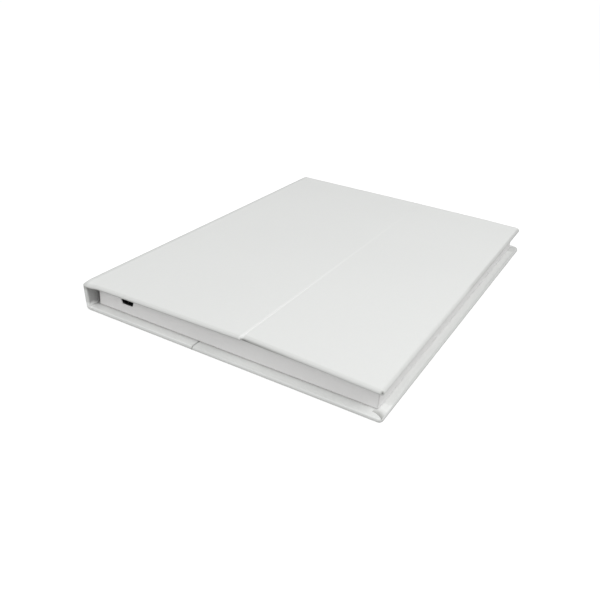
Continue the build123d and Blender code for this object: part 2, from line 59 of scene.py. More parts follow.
MM = 0.001
PAPER = 0.3 * MM  # wrap paper
TURN_IN = 6.0 * MM  # of wrap paper, onto a cover's inner face
LINING_PROUD = 0.04 * MM  # above the turned-in wrap
LINING_STEP = 0.05 * MM  # width of its step
END_LAP = 0.7 * MM  # of wrap paper over the spine's ends
FRONT_ROUNDS = (1.4 * MM, 0.6 * MM)  # paper over the front cover's outer and inner edges
BACK_ROUNDS = (0.7 * MM, 1.1 * MM)  # and over the back cover's
CORNER_ROUND = 3.2 * MM  # a cover's free corners, in plan
LEG_CORNER = 2.0 * MM  # the leg's tail corner, folded tighter
LEG_HEAD_CORNER = 4.6 * MM  # and its head corner, folded loosely
FLAP_CORNER = 1.3 * MM  # the flap's tail corner, folded tighter still
CREASE_GROOVE = 0.6 * MM  # the front crease, pressed in from inside
SEAM_GROOVE = 0.8 * MM  # and the leg's seam
FOLD_RADIUS = 1.5 * MM  # paper round the spine's folds
FOLD_HEIGHT = 3.0 * MM  # of a fold, at the spine
FOLD_SLACK = 0.15 * MM  # its inner paper rounds its corner by this
FOLD_LINES = (0.2 * MM, 0.5 * MM, 0.7 * MM)  # sections above, inside and past its round
SPINE_STEP = 1.5 * MM  # between the spine's sections
MITRE_GAP = 0.1 * MM  # between the spine's board and the folds
CORE_BEND = 1.5 * MM  # the board's top bends over this height

# ---- Grids and merging ----

GRID_STEP = 8.0 * MM
ROUND_STEPS = 4  # steps round a rim
CORNER_STEPS = 5  # and from there to the end of a corner's round
GROOVE_STEPS = 8
FOLD_STEPS = 6
MERGE = 1e-7
SHARP = radians(50)  # edges that turn further than this are shaded sharp
CREASE_INSETS = [k * MM for k in (0, 0.15, 0.3, 0.45, 0.6, 0.8, 1.0, 1.25, 1.5, 1.9, 2.4, 3.2, 4.5)]
SEAM_INSETS = [k * MM for k in (0, 0.4, 1.2, 3.0)]
SPINE_INSETS = [k * MM for k in (0, 0.8, 1.6, 2.4, 3.3, 4.5, 6)]
CORE_CUTS = [k * MM for k in (1.5, 3.0, 4.5, 6.0)]


# ---- Shader nodes ----


def feed(tree, socket, value):
    """Sets a socket, or links it to another one."""
    if isinstance(value, bpy.types.NodeSocket):
        tree.links.new(value, socket)
    else:
        socket.default_value = value


def add_node(tree, kind, **settings):
    """A node with its settings and its inputs given by name."""
    node = tree.nodes.new("ShaderNode" + kind)
    for name, value in settings.items():
        if hasattr(node, name):
            setattr(node, name, value)
        else:
            feed(tree, node.inputs[name.replace("_", " ")], value)
    return node


def math_node(tree, operation, *values):
    """A math node's result."""
    node = add_node(tree, "Math", operation=operation)
    for index, value in enumerate(values):
        feed(tree, node.inputs[index], value)
    return node.outputs[0]


def arithmetic(tree):
    """Plus, minus, times, lesser and greater, as functions that add math nodes to a tree."""
    names = ("ADD", "SUBTRACT", "MULTIPLY", "MINIMUM", "MAXIMUM")
    return [partial(math_node, tree, name) for name in names]


def mix_colours(tree, share, first, second, blend="MIX"):
    """A colour between two others."""
    node = add_node(tree, "Mix", data_type="RGBA", blend_type=blend)
    for index, value in ((0, share), (6, first), (7, second)):
        feed(tree, node.inputs[index], value)
    return node.outputs[2]


def mix_shaders(tree, share, first, second):
    """A shader between two others."""
    node = add_node(tree, "MixShader")
    for index, value in enumerate((share, first.outputs[0], second.outputs[0])):
        feed(tree, node.inputs[index], value)
    return node


def own_place(tree, stretch=(1, 1, 1)):
    """A surface point's own place, stretched."""
    place = add_node(tree, "TexCoord").outputs["Object"]
    return add_node(tree, "Mapping", Vector=place, Scale=stretch).outputs[0]


def noise(tree, place, scale, detail=3.0, rough=0.55):
    """Soft noise from 0 to 1."""
    return add_node(
        tree, "TexNoise", Vector=place, Scale=scale, Detail=detail, Roughness=rough
    ).outputs["Fac"]


# ---- Shader node groups ----

# The darkest painted shade, mixed with dirt, and the white of painted light
DEEP_SHADE_AND_DIRT = (0.07, 0.07, 0.068, 1)
PAINTED_LIGHT_WHITE = (0.96, 0.965, 0.955, 1)


def new_group(name, inputs):
    """A shader node group, its inputs and a function that sets its three outputs."""
    group = bpy.data.node_groups.new(name, "ShaderNodeTree")
    kinds = {1: "NodeSocketFloat", 3: "NodeSocketVector", 4: "NodeSocketColor"}
    for label, value in inputs.items():
        kind = kinds[1 if isinstance(value, float) else len(value)]
        socket = group.interface.new_socket(label, in_out="INPUT", socket_type=kind)
        socket.default_value = value
    labels = {"Colour": kinds[4], "Roughness": kinds[1], "Height": kinds[1]}
    for label, kind in labels.items():
        group.interface.new_socket(label, in_out="OUTPUT", socket_type=kind)
    given = group.nodes.new("NodeGroupInput").outputs
    leave = group.nodes.new("NodeGroupOutput").inputs

    def put_out(*results):
        for label, result in zip(labels, results):
            group.links.new(result, leave[label])
        return group

    return group, given, put_out


def make_paper_group():
    """Laminated paper: cloudy tint, fine fibre, the film's slight orange peel, patchy soil with
    painted shade, and painted light.
    """
    group, given, put_out = new_group("laminated paper", {
        "Colour": (0.8, 0.8, 0.8, 1), "Dirt and shade": (0.6, 0.6, 0.58, 1), "Fibre scale": 900.0,
        "Fibre": 0.02, "Cloud": 0.03, "Rub": 0.3, "Sheen": 0.5,
    })
    plus, minus, times, lesser, greater = arithmetic(group)
    place = own_place(group)
    fibre = noise(group, place, given["Fibre scale"], 4.0, 0.6)
    long_fibre = noise(group, own_place(group, (1, 0.12, 1)), 2600.0, 2.0)
    cloud = noise(group, place, 14.0, 2.0)
    smear = noise(group, place, 55.0, 3.0)
    peel = noise(group, place, 420.0, 1.5)
    wear_shade_and_light = add_node(group, "Attribute", attribute_name="wear_shade_and_light").outputs["Fac"]
    dirt_and_shade_share = greater(times(wear_shade_and_light, -1.0), 0.0)
    patchy = plus(times(smear, given["Rub"]), 1.0)
    dirt_shade_and_highlight = lesser(times(dirt_and_shade_share, patchy), 1.0)
    deep = lesser(greater(minus(dirt_and_shade_share, 1.0), 0.0), 1.0)
    painted_light_share = lesser(greater(wear_shade_and_light, 0.0), 1.0)
    lighter = times(minus(cloud, 0.5), given["Cloud"])
    speck = times(minus(times(fibre, long_fibre), 0.25), given["Fibre"])
    level = plus(plus(lighter, speck), 1.0)
    grey = add_node(group, "CombineColor", Red=level, Green=level, Blue=level).outputs[0]
    colour = mix_colours(group, 1.0, given["Colour"], grey, "MULTIPLY")
    # Soil with painted shade, then the darkest painted shade with dirt, then painted light
    for share, tint in ((dirt_shade_and_highlight, given["Dirt and shade"]), (deep, DEEP_SHADE_AND_DIRT), (painted_light_share, PAINTED_LIGHT_WHITE)):
        colour = mix_colours(group, share, colour, tint)
    rough = plus(times(minus(smear, 0.5), 0.18), given["Sheen"])
    rough = plus(rough, times(dirt_shade_and_highlight, 0.3))
    return put_out(colour, rough, plus(peel, times(fibre, 0.5)))


def make_grain_group():
    """Plain grain for card, board, plastic and metal: specks, clouds and uneven gloss."""
    group, given, put_out = new_group("material grain", {
        "Colour": (0.5, 0.5, 0.5, 1), "Second colour": (0.4, 0.4, 0.4, 1), "Scale": 600.0,
        "Contrast": 0.5, "Roughness": 0.5, "Unevenness": 0.15, "Stretch": (1, 1, 1),
    })
    plus, minus, times, lesser, greater = arithmetic(group)
    speck = noise(group, own_place(group, given["Stretch"]), given["Scale"], 5.0, 0.65)
    cloud = noise(group, own_place(group), 60.0, 3.0)
    blend = plus(times(times(minus(speck, 0.5), given["Contrast"]), 2.0), cloud)
    share = lesser(greater(blend, 0.0), 1.0)
    colour = mix_colours(group, share, given["Colour"], given["Second colour"])
    rough = plus(times(minus(cloud, 0.5), given["Unevenness"]), given["Roughness"])
    return put_out(colour, rough, speck)


PAPER_GROUP = make_paper_group()
GRAIN_GROUP = make_grain_group()


# ---- Materials ----

PAPER_RELIEF = (0.25, 0.02 * MM)  # strength and depth
GRAIN_DEPTH = 0.03 * MM


def new_material(name):
    """An empty material with a Principled shader on its output."""
    material = bpy.data.materials.new(name)
    material.use_nodes = True
    tree = material.node_tree
    tree.nodes.clear()
    shader = add_node(tree, "BsdfPrincipled")
    add_node(tree, "OutputMaterial", Surface=shader.outputs[0])
    return material, tree, shader


def grouped_material(name, group, values, relief, depth, plain):
    """A material that takes its looks from a shared group."""
    material, tree, shader = new_material(name)
    node = add_node(tree, "Group", node_tree=group)
    for label, value in values.items():
        node.inputs[label].default_value = value
    made = node.outputs
    bump = add_node(tree, "Bump", Strength=relief, Distance=depth, Height=made["Height"])
    settings = {
        "Base Color": made["Colour"], "Roughness": made["Roughness"], "Normal": bump.outputs[0],
    }
    for label, value in {**settings, **plain}.items():
        feed(tree, shader.inputs[label], value)
    return material


# The second colour is that of soil and painted shade
def paper(name, colour, dirt_and_shade, fibre, cloud, rub, sheen):
    """Matt laminated or plain paper."""
    settings = {
        "Colour": (*colour, 1), "Dirt and shade": (*dirt_and_shade, 1), "Fibre": fibre, "Cloud": cloud, "Rub": rub,
        "Sheen": sheen,
    }
    plain = {"IOR": 1.45, "Specular IOR Level": 0.4}
    return grouped_material(name, PAPER_GROUP, settings, *PAPER_RELIEF, plain)


def grained(name, colour, second, scale, contrast, rough, stretch=(1, 1, 1), relief=0.2, **plain):
    """Card, board, plastic or metal with grain."""
    settings = {
        "Colour": (*colour, 1), "Second colour": (*second, 1), "Scale": scale,
        "Contrast": contrast, "Roughness": rough, "Stretch": stretch,
    }
    labels = {key.replace("_", " ").title(): value for key, value in plain.items()}
    return grouped_material(name, GRAIN_GROUP, settings, relief, GRAIN_DEPTH, labels)


def make_lens_material():
    """Clear hard-coated sheet over the screen, with faint wipe marks."""
    material, tree, shader = new_material("clear sheet")
    plus, _, times, *_ = arithmetic(tree)
    wipe = noise(tree, own_place(tree, (1, 0.25, 1)), 60.0, 1.0)
    tint = mix_colours(tree, wipe, (0.97, 0.975, 0.98, 1), (0.94, 0.95, 0.96, 1))
    for label, value in (
        ("Transmission Weight", 1.0), ("IOR", 1.49), ("Base Color", tint),
        ("Roughness", plus(times(wipe, 0.03), 0.02)),
    ):
        feed(tree, shader.inputs[label], value)
    return material


COVER_PAPER = paper(
    "cover paper", (0.815, 0.825, 0.812), (0.52, 0.525, 0.51), 0.05, 0.03, 0.35, 0.52
)
BLOCK_PAPER = paper("block paper", (0.8, 0.795, 0.79), (0.5, 0.49, 0.48), 0.05, 0.03, 0.3, 0.55)
LINING_PAPER = paper("lining paper", (0.8, 0.8, 0.79), (0.6, 0.6, 0.58), 0.12, 0.03, 0.1, 0.75)
# The spine's lining is dark grey paper: painted shade in the hollow behind the spine
SPINE_SHADE_LINING = paper("spine lining", (0.5, 0.5, 0.495), (0.4, 0.4, 0.39), 0.12, 0.04, 0.1, 0.75)
GREYBOARD = grained(
    "greyboard", (0.36, 0.33, 0.29), (0.25, 0.235, 0.21), 900, 0.9, 0.9, (1, 1, 6), 0.6
)
BUTTON = grained(
    "button plastic", (0.7, 0.7, 0.69), (0.66, 0.66, 0.65), 900, 0.5, 0.42, relief=0.15
)
PRINT_INK = grained("symbol ink", (0.07, 0.07, 0.075), (0.11, 0.11, 0.115), 1200, 0.6, 0.6)
# The socket's shell is made near black
NEAR_BLACK_SHELL = grained(
    "near black shell", (0.012, 0.012, 0.013), (0.02, 0.02, 0.021), 700, 0.5, 0.5, metallic=0.6
)
SPEAKER_CLOTH = grained(
    "speaker cloth", (0.02, 0.02, 0.021), (0.05, 0.05, 0.052), 2500, 1.0, 0.95, relief=0.9
)

SLOT_MATERIALS = {
    "wrap_paper": COVER_PAPER,
    "lining_paper": LINING_PAPER,
    "greyboard": GREYBOARD,
    "button": BUTTON,
    "clear_sheet": make_lens_material(),
    "white_card": grained(
        "white card", (0.74, 0.73, 0.7), (0.66, 0.65, 0.61), 700, 0.6, 0.85, relief=0.4
    ),
    "tape": grained("adhesive tape", (0.62, 0.58, 0.48), (0.55, 0.5, 0.4), 300, 0.4, 0.45),
    "magnet": grained(
        "nickel plate", (0.62, 0.61, 0.59), (0.5, 0.49, 0.47), 900, 0.3, 0.28, metallic=1.0
    ),
    "steel": grained(
        "tinned steel", (0.56, 0.56, 0.56), (0.44, 0.44, 0.45), 500, 0.5, 0.38, (1, 8, 1),
        metallic=1.0,
    ),
    "lcd_glass": grained(
        "screen glass", (0.012, 0.013, 0.016), (0.009, 0.01, 0.013), 40, 0.4, 0.12,
        relief=0.02, coat_weight=0.6, coat_roughness=0.05,
    ),
    "light_guide": grained("light guide", (0.78, 0.79, 0.8), (0.72, 0.73, 0.75), 200, 0.2, 0.3),
    "foam": grained(
        "foam tape", (0.05, 0.05, 0.05), (0.09, 0.09, 0.09), 1500, 1.0, 0.95, relief=0.8
    ),
    "cell_foil": grained(
        "cell foil", (0.6, 0.61, 0.62), (0.5, 0.51, 0.52), 120, 0.5, 0.34, relief=0.4,
        metallic=1.0,
    ),
    "lead": grained("lead jacket", (0.42, 0.02, 0.02), (0.33, 0.015, 0.015), 700, 0.4, 0.45),
    "circuit_board": grained(
        "solder mask", (0.012, 0.09, 0.035), (0.008, 0.06, 0.025), 350, 0.8, 0.35,
        coat_weight=0.3,
    ),
    "chip": grained("chip plastic", (0.02, 0.02, 0.022), (0.035, 0.035, 0.036), 1200, 0.8, 0.6),
    "connector": grained("connector plastic", (0.72, 0.69, 0.6), (0.65, 0.62, 0.53), 500, 0.4, 0.5),
    "contact_plastic": grained(
        "socket plastic", (0.01, 0.01, 0.011), (0.02, 0.02, 0.02), 900, 0.5, 0.5
    ),
    "ribbon": grained(
        "ribbon film", (0.42, 0.18, 0.03), (0.34, 0.14, 0.02), 250, 0.4, 0.3, (1, 6, 1)
    ),
    "speaker_cone": grained(
        "cone paper", (0.035, 0.034, 0.033), (0.06, 0.058, 0.055), 800, 0.9, 0.85
    ),
}


def finish_solids():
    """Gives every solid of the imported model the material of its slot."""
    for entry in frame["record"]["subparts"]:
        slots = frame["nodes"][entry["node"]].data.materials
        slots.clear()
        slots.append(SLOT_MATERIALS[entry["material_slot"]])
    frame["nodes"]["block_wrap"].data.materials[0] = BLOCK_PAPER
    frame["nodes"]["usb_shell"].data.materials[0] = NEAR_BLACK_SHELL


finish_solids()


# ---- Mesh helpers ----


def place_object(name, data):
    """A new object in the scene."""
    holder = bpy.data.objects.new(name, data)
    bpy.context.scene.collection.objects.link(holder)
    return holder


def make_piece(name, fill, material, body, replaced=(), mark=None):
    """A finished piece from a function that fills a bmesh. Mark gives the paper's wear and painted
    light
    at a point: above 0 painted light, below 0 soil and painted shade, and below -1 darker painted
    shade and dirt."""
    mesh = bpy.data.meshes.new(name)
    shape = bmesh.new()
    fill(shape)
    bmesh.ops.remove_doubles(shape, verts=shape.verts[:], dist=MERGE)
    bmesh.ops.dissolve_degenerate(shape, edges=shape.edges[:], dist=MERGE / 10)
    bmesh.ops.recalc_face_normals(shape, faces=shape.faces[:])
    for face in shape.faces:
        face.smooth = True
    for edge in shape.edges:
        edge.smooth = edge.calc_face_angle(0.0) < SHARP
    if mark:
        layer = shape.verts.layers.float.new("wear_shade_and_light")
        for vertex in shape.verts:
            vertex[layer] = mark(vertex.co)
    shape.to_mesh(mesh)
    shape.free()
    piece = place_object(name, mesh)
    for entry in material if isinstance(material, list) else [material]:
        mesh.materials.append(entry)
    even = piece.modifiers.new("even shading", "WEIGHTED_NORMAL")
    even.weight = 80
    even.keep_sharp = True
    graph = bpy.context.evaluated_depsgraph_get()
    shaded = bpy.data.meshes.new_from_object(piece.evaluated_get(graph))
    piece.modifiers.clear()
    piece.data = shaded
    if replaced:
        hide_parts(*replaced)
    if body:
        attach(piece, body)
    return piece


def ease(value):
    """A smooth step from 0 to 1."""
    value = min(1.0, max(0.0, value))
    return value * value * (3 - 2 * value)


def swell(value, height, middle, width):
    """A height at the middle, fading smoothly to nothing over about twice the width."""
    return height * exp(-(((value - middle) / width) ** 2))


def part_way(value, low, high):
    """0 where a value is at the first end and 1 at the second."""
    return (value - low) / (high - low)


def spaced(low, high, step):
    """Even places strictly between two ends."""
    count = max(1, round((high - low) / step))
    return [low + (high - low) * index / count for index in range(1, count)]


def rim_insets(rounds, corner=CORNER_ROUND):
    """Distances in from a free edge where a grid needs its lines."""
    turns = [sin(pi / 2 * k / ROUND_STEPS) for k in range(ROUND_STEPS + 1)]
    lines = sorted({round(r * (1 - t), 9) for t in turns for r in rounds})
    widest = max(rounds)
    lines += [widest + (corner - widest) * k / CORNER_STEPS for k in range(1, CORNER_STEPS + 1)]
    return lines + [TURN_IN - LINING_STEP, TURN_IN]


def grid_lines(low, high, low_insets, high_insets):
    """Grid places from one side to the other, closer together at each rim."""
    first = [low + inset for inset in low_insets]
    last = [high - inset for inset in reversed(high_insets)]
    return first + spaced(first[-1], last[0], GRID_STEP) + last


def drop(inset, radius):
    """How far a rounded rim has fallen at an inset."""
    if inset >= radius:
        return 0.0
    return radius - sqrt(max(0.0, radius * radius - (radius - inset) ** 2))


def new_ring(shape, points):
    """A row of new vertices."""
    return [shape.verts.new(point) for point in points]


def skin_rings(shape, rings):
    """Skins a row of closed rings, open at both ends."""
    for ring, following in zip(rings, rings[1:]):
        for k in range(len(ring)):
            m = (k + 1) % len(ring)
            shape.faces.new([ring[k], following[k], following[m], ring[m]])


def join_rings(shape, rings):
    """Skins a row of closed rings and closes both ends."""
    skin_rings(shape, rings)
    shape.faces.new(rings[0][::-1])
    shape.faces.new(rings[-1])


def rim_of(grid):
    """The vertices round a grid."""
    tail = [row[0] for row in grid]
    head = [row[-1] for row in grid[-2::-1]]
    return tail + grid[-1][1:] + head + grid[0][-2:0:-1]


def circle(centre, radius, z, count):
    """Points round a level circle."""
    turns = [tau * k / count for k in range(count)]
    return [(centre[0] + radius * cos(turn), centre[1] + radius * sin(turn), z) for turn in turns]


def cut_across(shape, place, direction):
    """Cuts every edge and face that a plane crosses."""
    everything = shape.verts[:] + shape.edges[:] + shape.faces[:]
    bmesh.ops.bisect_plane(shape, geom=everything, plane_co=place, plane_no=direction, dist=MERGE)


def end_inset(y):
    """How far in from the cover's nearer end."""
    return min(y - TAIL, HEAD - y)


def covered_board(low, high, spineward, foreward, outer, inner, corners, rounds):
    """A function that fills a bmesh with a board covered in paper. Its faces are shifted by
    outer(x, y, inset) and inner(x, y, inset). A side that joins another panel has grid insets, and
    a free one None. Corners are the radii at tail and head, rounds those of both edges."""
    rim = rim_insets(rounds, max(corners))
    xs = grid_lines(low.x, high.x, spineward or rim, foreward or rim)
    ys = grid_lines(TAIL, HEAD, rim, rim)

    def plan(x, y):
        """A grid place moved onto the rounded outline, and how far in from the edge it is."""
        edge_x = min(1.0 if spineward else x - low.x, 1.0 if foreward else high.x - x)
        edge_y = end_inset(y)
        radius = corners[0] if y - TAIL == edge_y else corners[1]
        if edge_x >= radius or edge_y >= radius:
            return x, y, min(edge_x, edge_y)
        across = radius - edge_x
        along = radius - edge_y
        reach = max(across, along)
        shrink = 1 - reach / hypot(across, along)
        side_x = -1 if high.x - x == edge_x else 1
        side_y = -1 if HEAD - y == edge_y else 1
        return x + across * shrink * side_x, y + along * shrink * side_y, radius - reach

    def skin(shape, level, turn, shift, radius):
        """One face's grid."""
        grid = []
        for x in xs:
            places = [plan(x, y) for y in ys]
            grid.append(new_ring(shape, [
                (px, py, level + turn * drop(inset, radius) + shift(px, py, inset))
                for px, py, inset in places
            ]))
        for near, far in zip(grid, grid[1:]):
            for j in range(len(ys) - 1):
                shape.faces.new([near[j], far[j], far[j + 1], near[j + 1]])
        return grid

    def fill(shape):
        top = skin(shape, high.z, -1, outer, rounds[0])
        bottom = skin(shape, low.z, 1, inner, rounds[1])
        skin_rings(shape, [rim_of(top), rim_of(bottom)])

    return fill


def reshaped(fill_first, *moves):
    """The same shape with every point moved: each move(point) changes it in place."""

    def fill(shape):
        fill_first(shape)
        for vertex in shape.verts:
            for move in moves:
                move(vertex.co)

    return fill


def wrapped_ends(sections, shift, rounds, last_rounds=None, inside_slot=0):
    """A function that fills a bmesh with covered board, from sections of an outer and an inner
    (x, z) point. Shift(x, y, z, k) moves a point of section k, and the rounds of the ends may
    change up to the last section."""
    rim = rim_insets(rounds + (last_rounds or ()))
    ys = grid_lines(TAIL, HEAD, rim, rim)

    def fill(shape):
        rings = []
        for k, (outer, inner) in enumerate(sections):
            share = k / (len(sections) - 1)
            radii = Vector(rounds).lerp(Vector(last_rounds or rounds), share)
            outer, inner = Vector(outer), Vector(inner)
            inward = (inner - outer).normalized()
            outside, inside = [], []
            for y in ys:
                inset = end_inset(y)
                face = outer + inward * drop(inset, radii.x)
                back = inner - inward * (drop(inset, radii.y) + recess(inset))
                for place, side in ((face, outside), (back, inside)):
                    point = Vector((place.x, y, place.y))
                    side.append(shape.verts.new(point + shift(point.x, y, point.z, k)))
            rings.append(outside + inside[::-1])
        join_rings(shape, rings)
        deep = [end_inset(y) > END_LAP for y in reversed(ys)]
        backs = {v for ring in rings for v, is_deep in zip(ring[len(ys):], deep) if is_deep}
        for face in shape.faces:
            if backs.issuperset(face.verts):
                face.material_index = inside_slot

    return fill


# ---- How the covers lie ----

FLAP_LIFT = 0.64 * MM  # of the flap, at the tail end of its crease
PANEL_LIFT = 0.24 * MM  # and the front panel a little less
FLAP_DROOP = 0.12 * MM  # and hangs a little towards its fore edge
HEAD_LIFT = 0.35 * MM  # of the front cover's head end
HEAD_LIFT_START = 20 * MM  # from here on, along the cover
HEAD_LIFT_RUN = 80 * MM  # fully after this length
HEAD_LIFT_SIDE = 30 * MM  # and this far in from the fore edge
PANEL_SAG = 0.2 * MM  # of the front panel beside the spine
CORNER_SAG = 0.7 * MM  # and of its bent tail corner
CORNER_LENGTH = 5.5 * MM  # the bent corner along the spine
CORNER_WIDTH = 6 * MM  # and across the panel
DRAW_IN = 1.2 * MM  # the crease draws the front panel's tail edge in
FLAP_DRAW_IN = 2.4 * MM  # and the flap's
DRAW_REACH = 40.0 * MM  # over this length of the cover
BUNCH = 0.7 * MM  # turned-in paper under the flap's tail end
BUNCH_WIDTH = 40 * MM  # across the flap
BUNCH_LENGTH = 5 * MM  # and along it
# The crease's pressed-up lip and the dip in it: height, place past the panel's edge and width
CREASE_LIP = (0.12 * MM, -0.1 * MM, 0.9 * MM)
CREASE_DIP = (0.22 * MM, 1.3 * MM, 0.5 * MM)
RIPPLES = (0.012 * MM, 0.02 * MM)  # heights
RIPPLE_EDGE = 4 * MM  # they fade over this width
LEG_REST = 0.04 * MM  # rise of the leg towards the block, away from its seam
LEG_REST_RUN = 30 * MM
LEG_SLIP = 1.35 * MM  # the leg's fore edge shows this far past the flap's
LEG_HEAD_REACH = 0.8 * MM  # and its head end past the front cover's
LEG_HEAD_RUN = 20 * MM
BACK_TURN = 0.0035  # radians the back cover is turned against the block
BACK_HOLLOW = 0.04 * MM  # in the back cover's outer face
BACK_HOLLOW_EDGE = 2 * MM
CORE_GAP = 1.2 * PAPER  # the leg's board stays this far inside its head corner
SPINE_LEAN_TOP = -1.4 * MM  # the spine leans out at its top
SPINE_LEAN_FOOT = 0.5 * MM  # and in at its foot
HEAD_CAP = 1.7 * MM  # the spine's paper is drawn in at the head
CAP_LENGTH = 6 * MM  # over this length
CAP_START = 8 * MM  # from this height
CAP_RISE = 5 * MM  # fully after this rise

BACK_LOW, BACK_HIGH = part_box("back_panel_wrap")
LEG_LOW, LEG_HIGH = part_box("back_leg_wrap")
FRONT_LOW, FRONT_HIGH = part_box("front_panel_wrap")
FLAP_LOW, FLAP_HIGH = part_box("front_flap_wrap")
SPINE_LOW, SPINE_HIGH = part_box("spine_wrap")
BLOCK_LOW, BLOCK_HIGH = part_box("block_wrap")
FRONT_HIGH.z = FLAP_HIGH.z
TOP = FLAP_HIGH.z
BOARD = BACK_HIGH.z - BACK_LOW.z
SPINEWARD = BACK_LOW.x  # where the flat panels start
CREASE = FRONT_HIGH.x  # the front crease, from here
FLAP = FLAP_LOW.x  # to here
FORE = FLAP_HIGH.x  # the front cover's fore edge
TAIL = FRONT_LOW.y
HEAD = FRONT_HIGH.y


def tailward(y):
    """1 at the tail end of the cover and 0 at its head."""
    return max(0.0, (HEAD - y) / (HEAD - TAIL)) ** 1.3


def recess(inset):
    """The turned-in wrap stands a hair below the lining that covers its end."""
    return LINING_PROUD if inset >= TURN_IN else 0.0


def ripple(x, y, inset):
    """The paper's slow unevenness over the board, level at the edges."""
    slow = sin(x * 61 + 0.7) * sin(y * 43 + 1.9)
    slower = sin(x * 23 - y * 31 + 0.4)
    return (RIPPLES[0] * slow + RIPPLES[1] * slower) * ease(inset / RIPPLE_EDGE)


def tail_corner(y):
    """How far the front cover's spine side is bent down at its tail corner."""
    return CORNER_SAG * ease(1 - (y - TAIL) / CORNER_LENGTH)


def head_lift(x, y):
    """How far the front cover's head end stands up."""
    along = ease((y - HEAD_LIFT_START) / HEAD_LIFT_RUN)
    return HEAD_LIFT * along * ease((FORE - x) / HEAD_LIFT_SIDE)


def front_lift(x, y):
    """How far the front cover stands above flat."""
    if x <= CREASE:
        share = max(0.0, part_way(x, SPINEWARD, CREASE))
        corner = tail_corner(y) * ease(1 - (x - SPINEWARD) / CORNER_WIDTH)
        sag = PANEL_SAG * (1 - share) ** 1.5 + corner
        return PANEL_LIFT * tailward(y) * share ** 2 - sag + head_lift(x, y)
    if x >= FLAP:
        share = min(1.0, part_way(x, FLAP, FORE))
        return FLAP_LIFT * tailward(y) * (1 - share) ** 1.2 - FLAP_DROOP * share + head_lift(x, y)
    across = ease(part_way(x, CREASE, FLAP) * 1.3 - 0.3)
    return (PANEL_LIFT + (FLAP_LIFT - PANEL_LIFT) * across) * tailward(y) + head_lift(x, y)


def draw_in(x, y):
    """How far the crease draws the front cover's tail edge in."""
    near = 1 - (y - TAIL) / DRAW_REACH
    if near <= 0:
        return 0.0
    if x <= CREASE:
        depth = DRAW_IN * max(0.0, part_way(x, SPINEWARD, CREASE)) ** 0.8
    elif x >= FLAP:
        depth = FLAP_DRAW_IN * max(0.0, part_way(x, FORE, FLAP))
    else:
        across = part_way(x, CREASE, FLAP)
        depth = DRAW_IN + (FLAP_DRAW_IN - DRAW_IN) * across
    return depth * near ** 2


def crease_relief(x, y):
    """The pressed-up lip before the front crease and the dip in it."""
    past = x - CREASE
    return (swell(past, *CREASE_LIP) - swell(past, *CREASE_DIP)) * tailward(y) ** 1.4


def front_outer(x, y, inset):
    """The front cover's outer face."""
    return front_lift(x, y) + crease_relief(x, y) + ripple(x, y, inset)


def bunched(x, y):
    """How much thicker the flap is at its tail end."""
    along = ease(part_way(x, CREASE, FLAP))
    along *= ease(1 - (x - FLAP) / BUNCH_WIDTH)
    return BUNCH * along * ease(1 - (y - TAIL) / BUNCH_LENGTH)


def front_inner(x, y, inset):
    """The front cover's inner face."""
    return front_lift(x, y) + recess(inset) - bunched(x, y)


def leg_lift(x):
    """How far the leg stands off the floor."""
    return LEG_REST * ease((x - LEG_LOW.x) / LEG_REST_RUN)


def back_slip(x, y):
    """How far the back cover lies out of line with the front one."""
    if x > LEG_LOW.x:
        share = part_way(x, LEG_LOW.x, LEG_HIGH.x)
        reach = LEG_HEAD_REACH * share * ease((y - LEG_HIGH.y) / LEG_HEAD_RUN + 1)
        return Vector(((LEG_SLIP + BACK_TURN * y) * share, reach - BACK_TURN * x, 0))
    share = max(0.0, part_way(x, BACK_HIGH.x, SPINEWARD))
    return Vector((SPINE_LEAN_FOOT * share, -BACK_TURN * x, 0))


def flat_outer(x, y, inset):
    """The back cover's outer face, seen upside down."""
    return ripple(x, y, inset) - BACK_HOLLOW * ease(inset / BACK_HOLLOW_EDGE)


def flat_inner(x, y, inset):
    """The back cover's inner face, seen upside down."""
    return recess(inset)


# Functions that move a point in place, from the flat cover to how it lies


def turn_over(point):
    """Turns a back cover's point upside down about the middle of its board."""
    point.z = BACK_LOW.z + BACK_HIGH.z - point.z


def draw_front(point):
    """Draws a point of the front cover in, near its tail edge."""
    point.y += draw_in(point.x, point.y)


def lift_front(point):
    """Moves a point of the front cover as the cover lies."""
    point.z += front_lift(point.x, point.y)
    draw_front(point)


def slip_back(point):
    """Moves a point of the back cover as the cover lies."""
    point.z += leg_lift(point.x)
    point += back_slip(point.x, point.y)


def slip_core(point):
    """Moves a point of the leg's board as the leg lies, kept inside the head corner."""
    middle = Vector((LEG_HIGH.x - LEG_HEAD_CORNER, LEG_HIGH.y - LEG_HEAD_CORNER))
    out = point.xy - middle
    reach = LEG_HEAD_CORNER - CORE_GAP
    if min(out) > 0 and out.length > reach:
        point.xy = middle + out * (reach / out.length)
    slip_back(point)


# ---- Wear and painted light on the cover paper: above 0 painted light, below 0 soil and painted shade ----

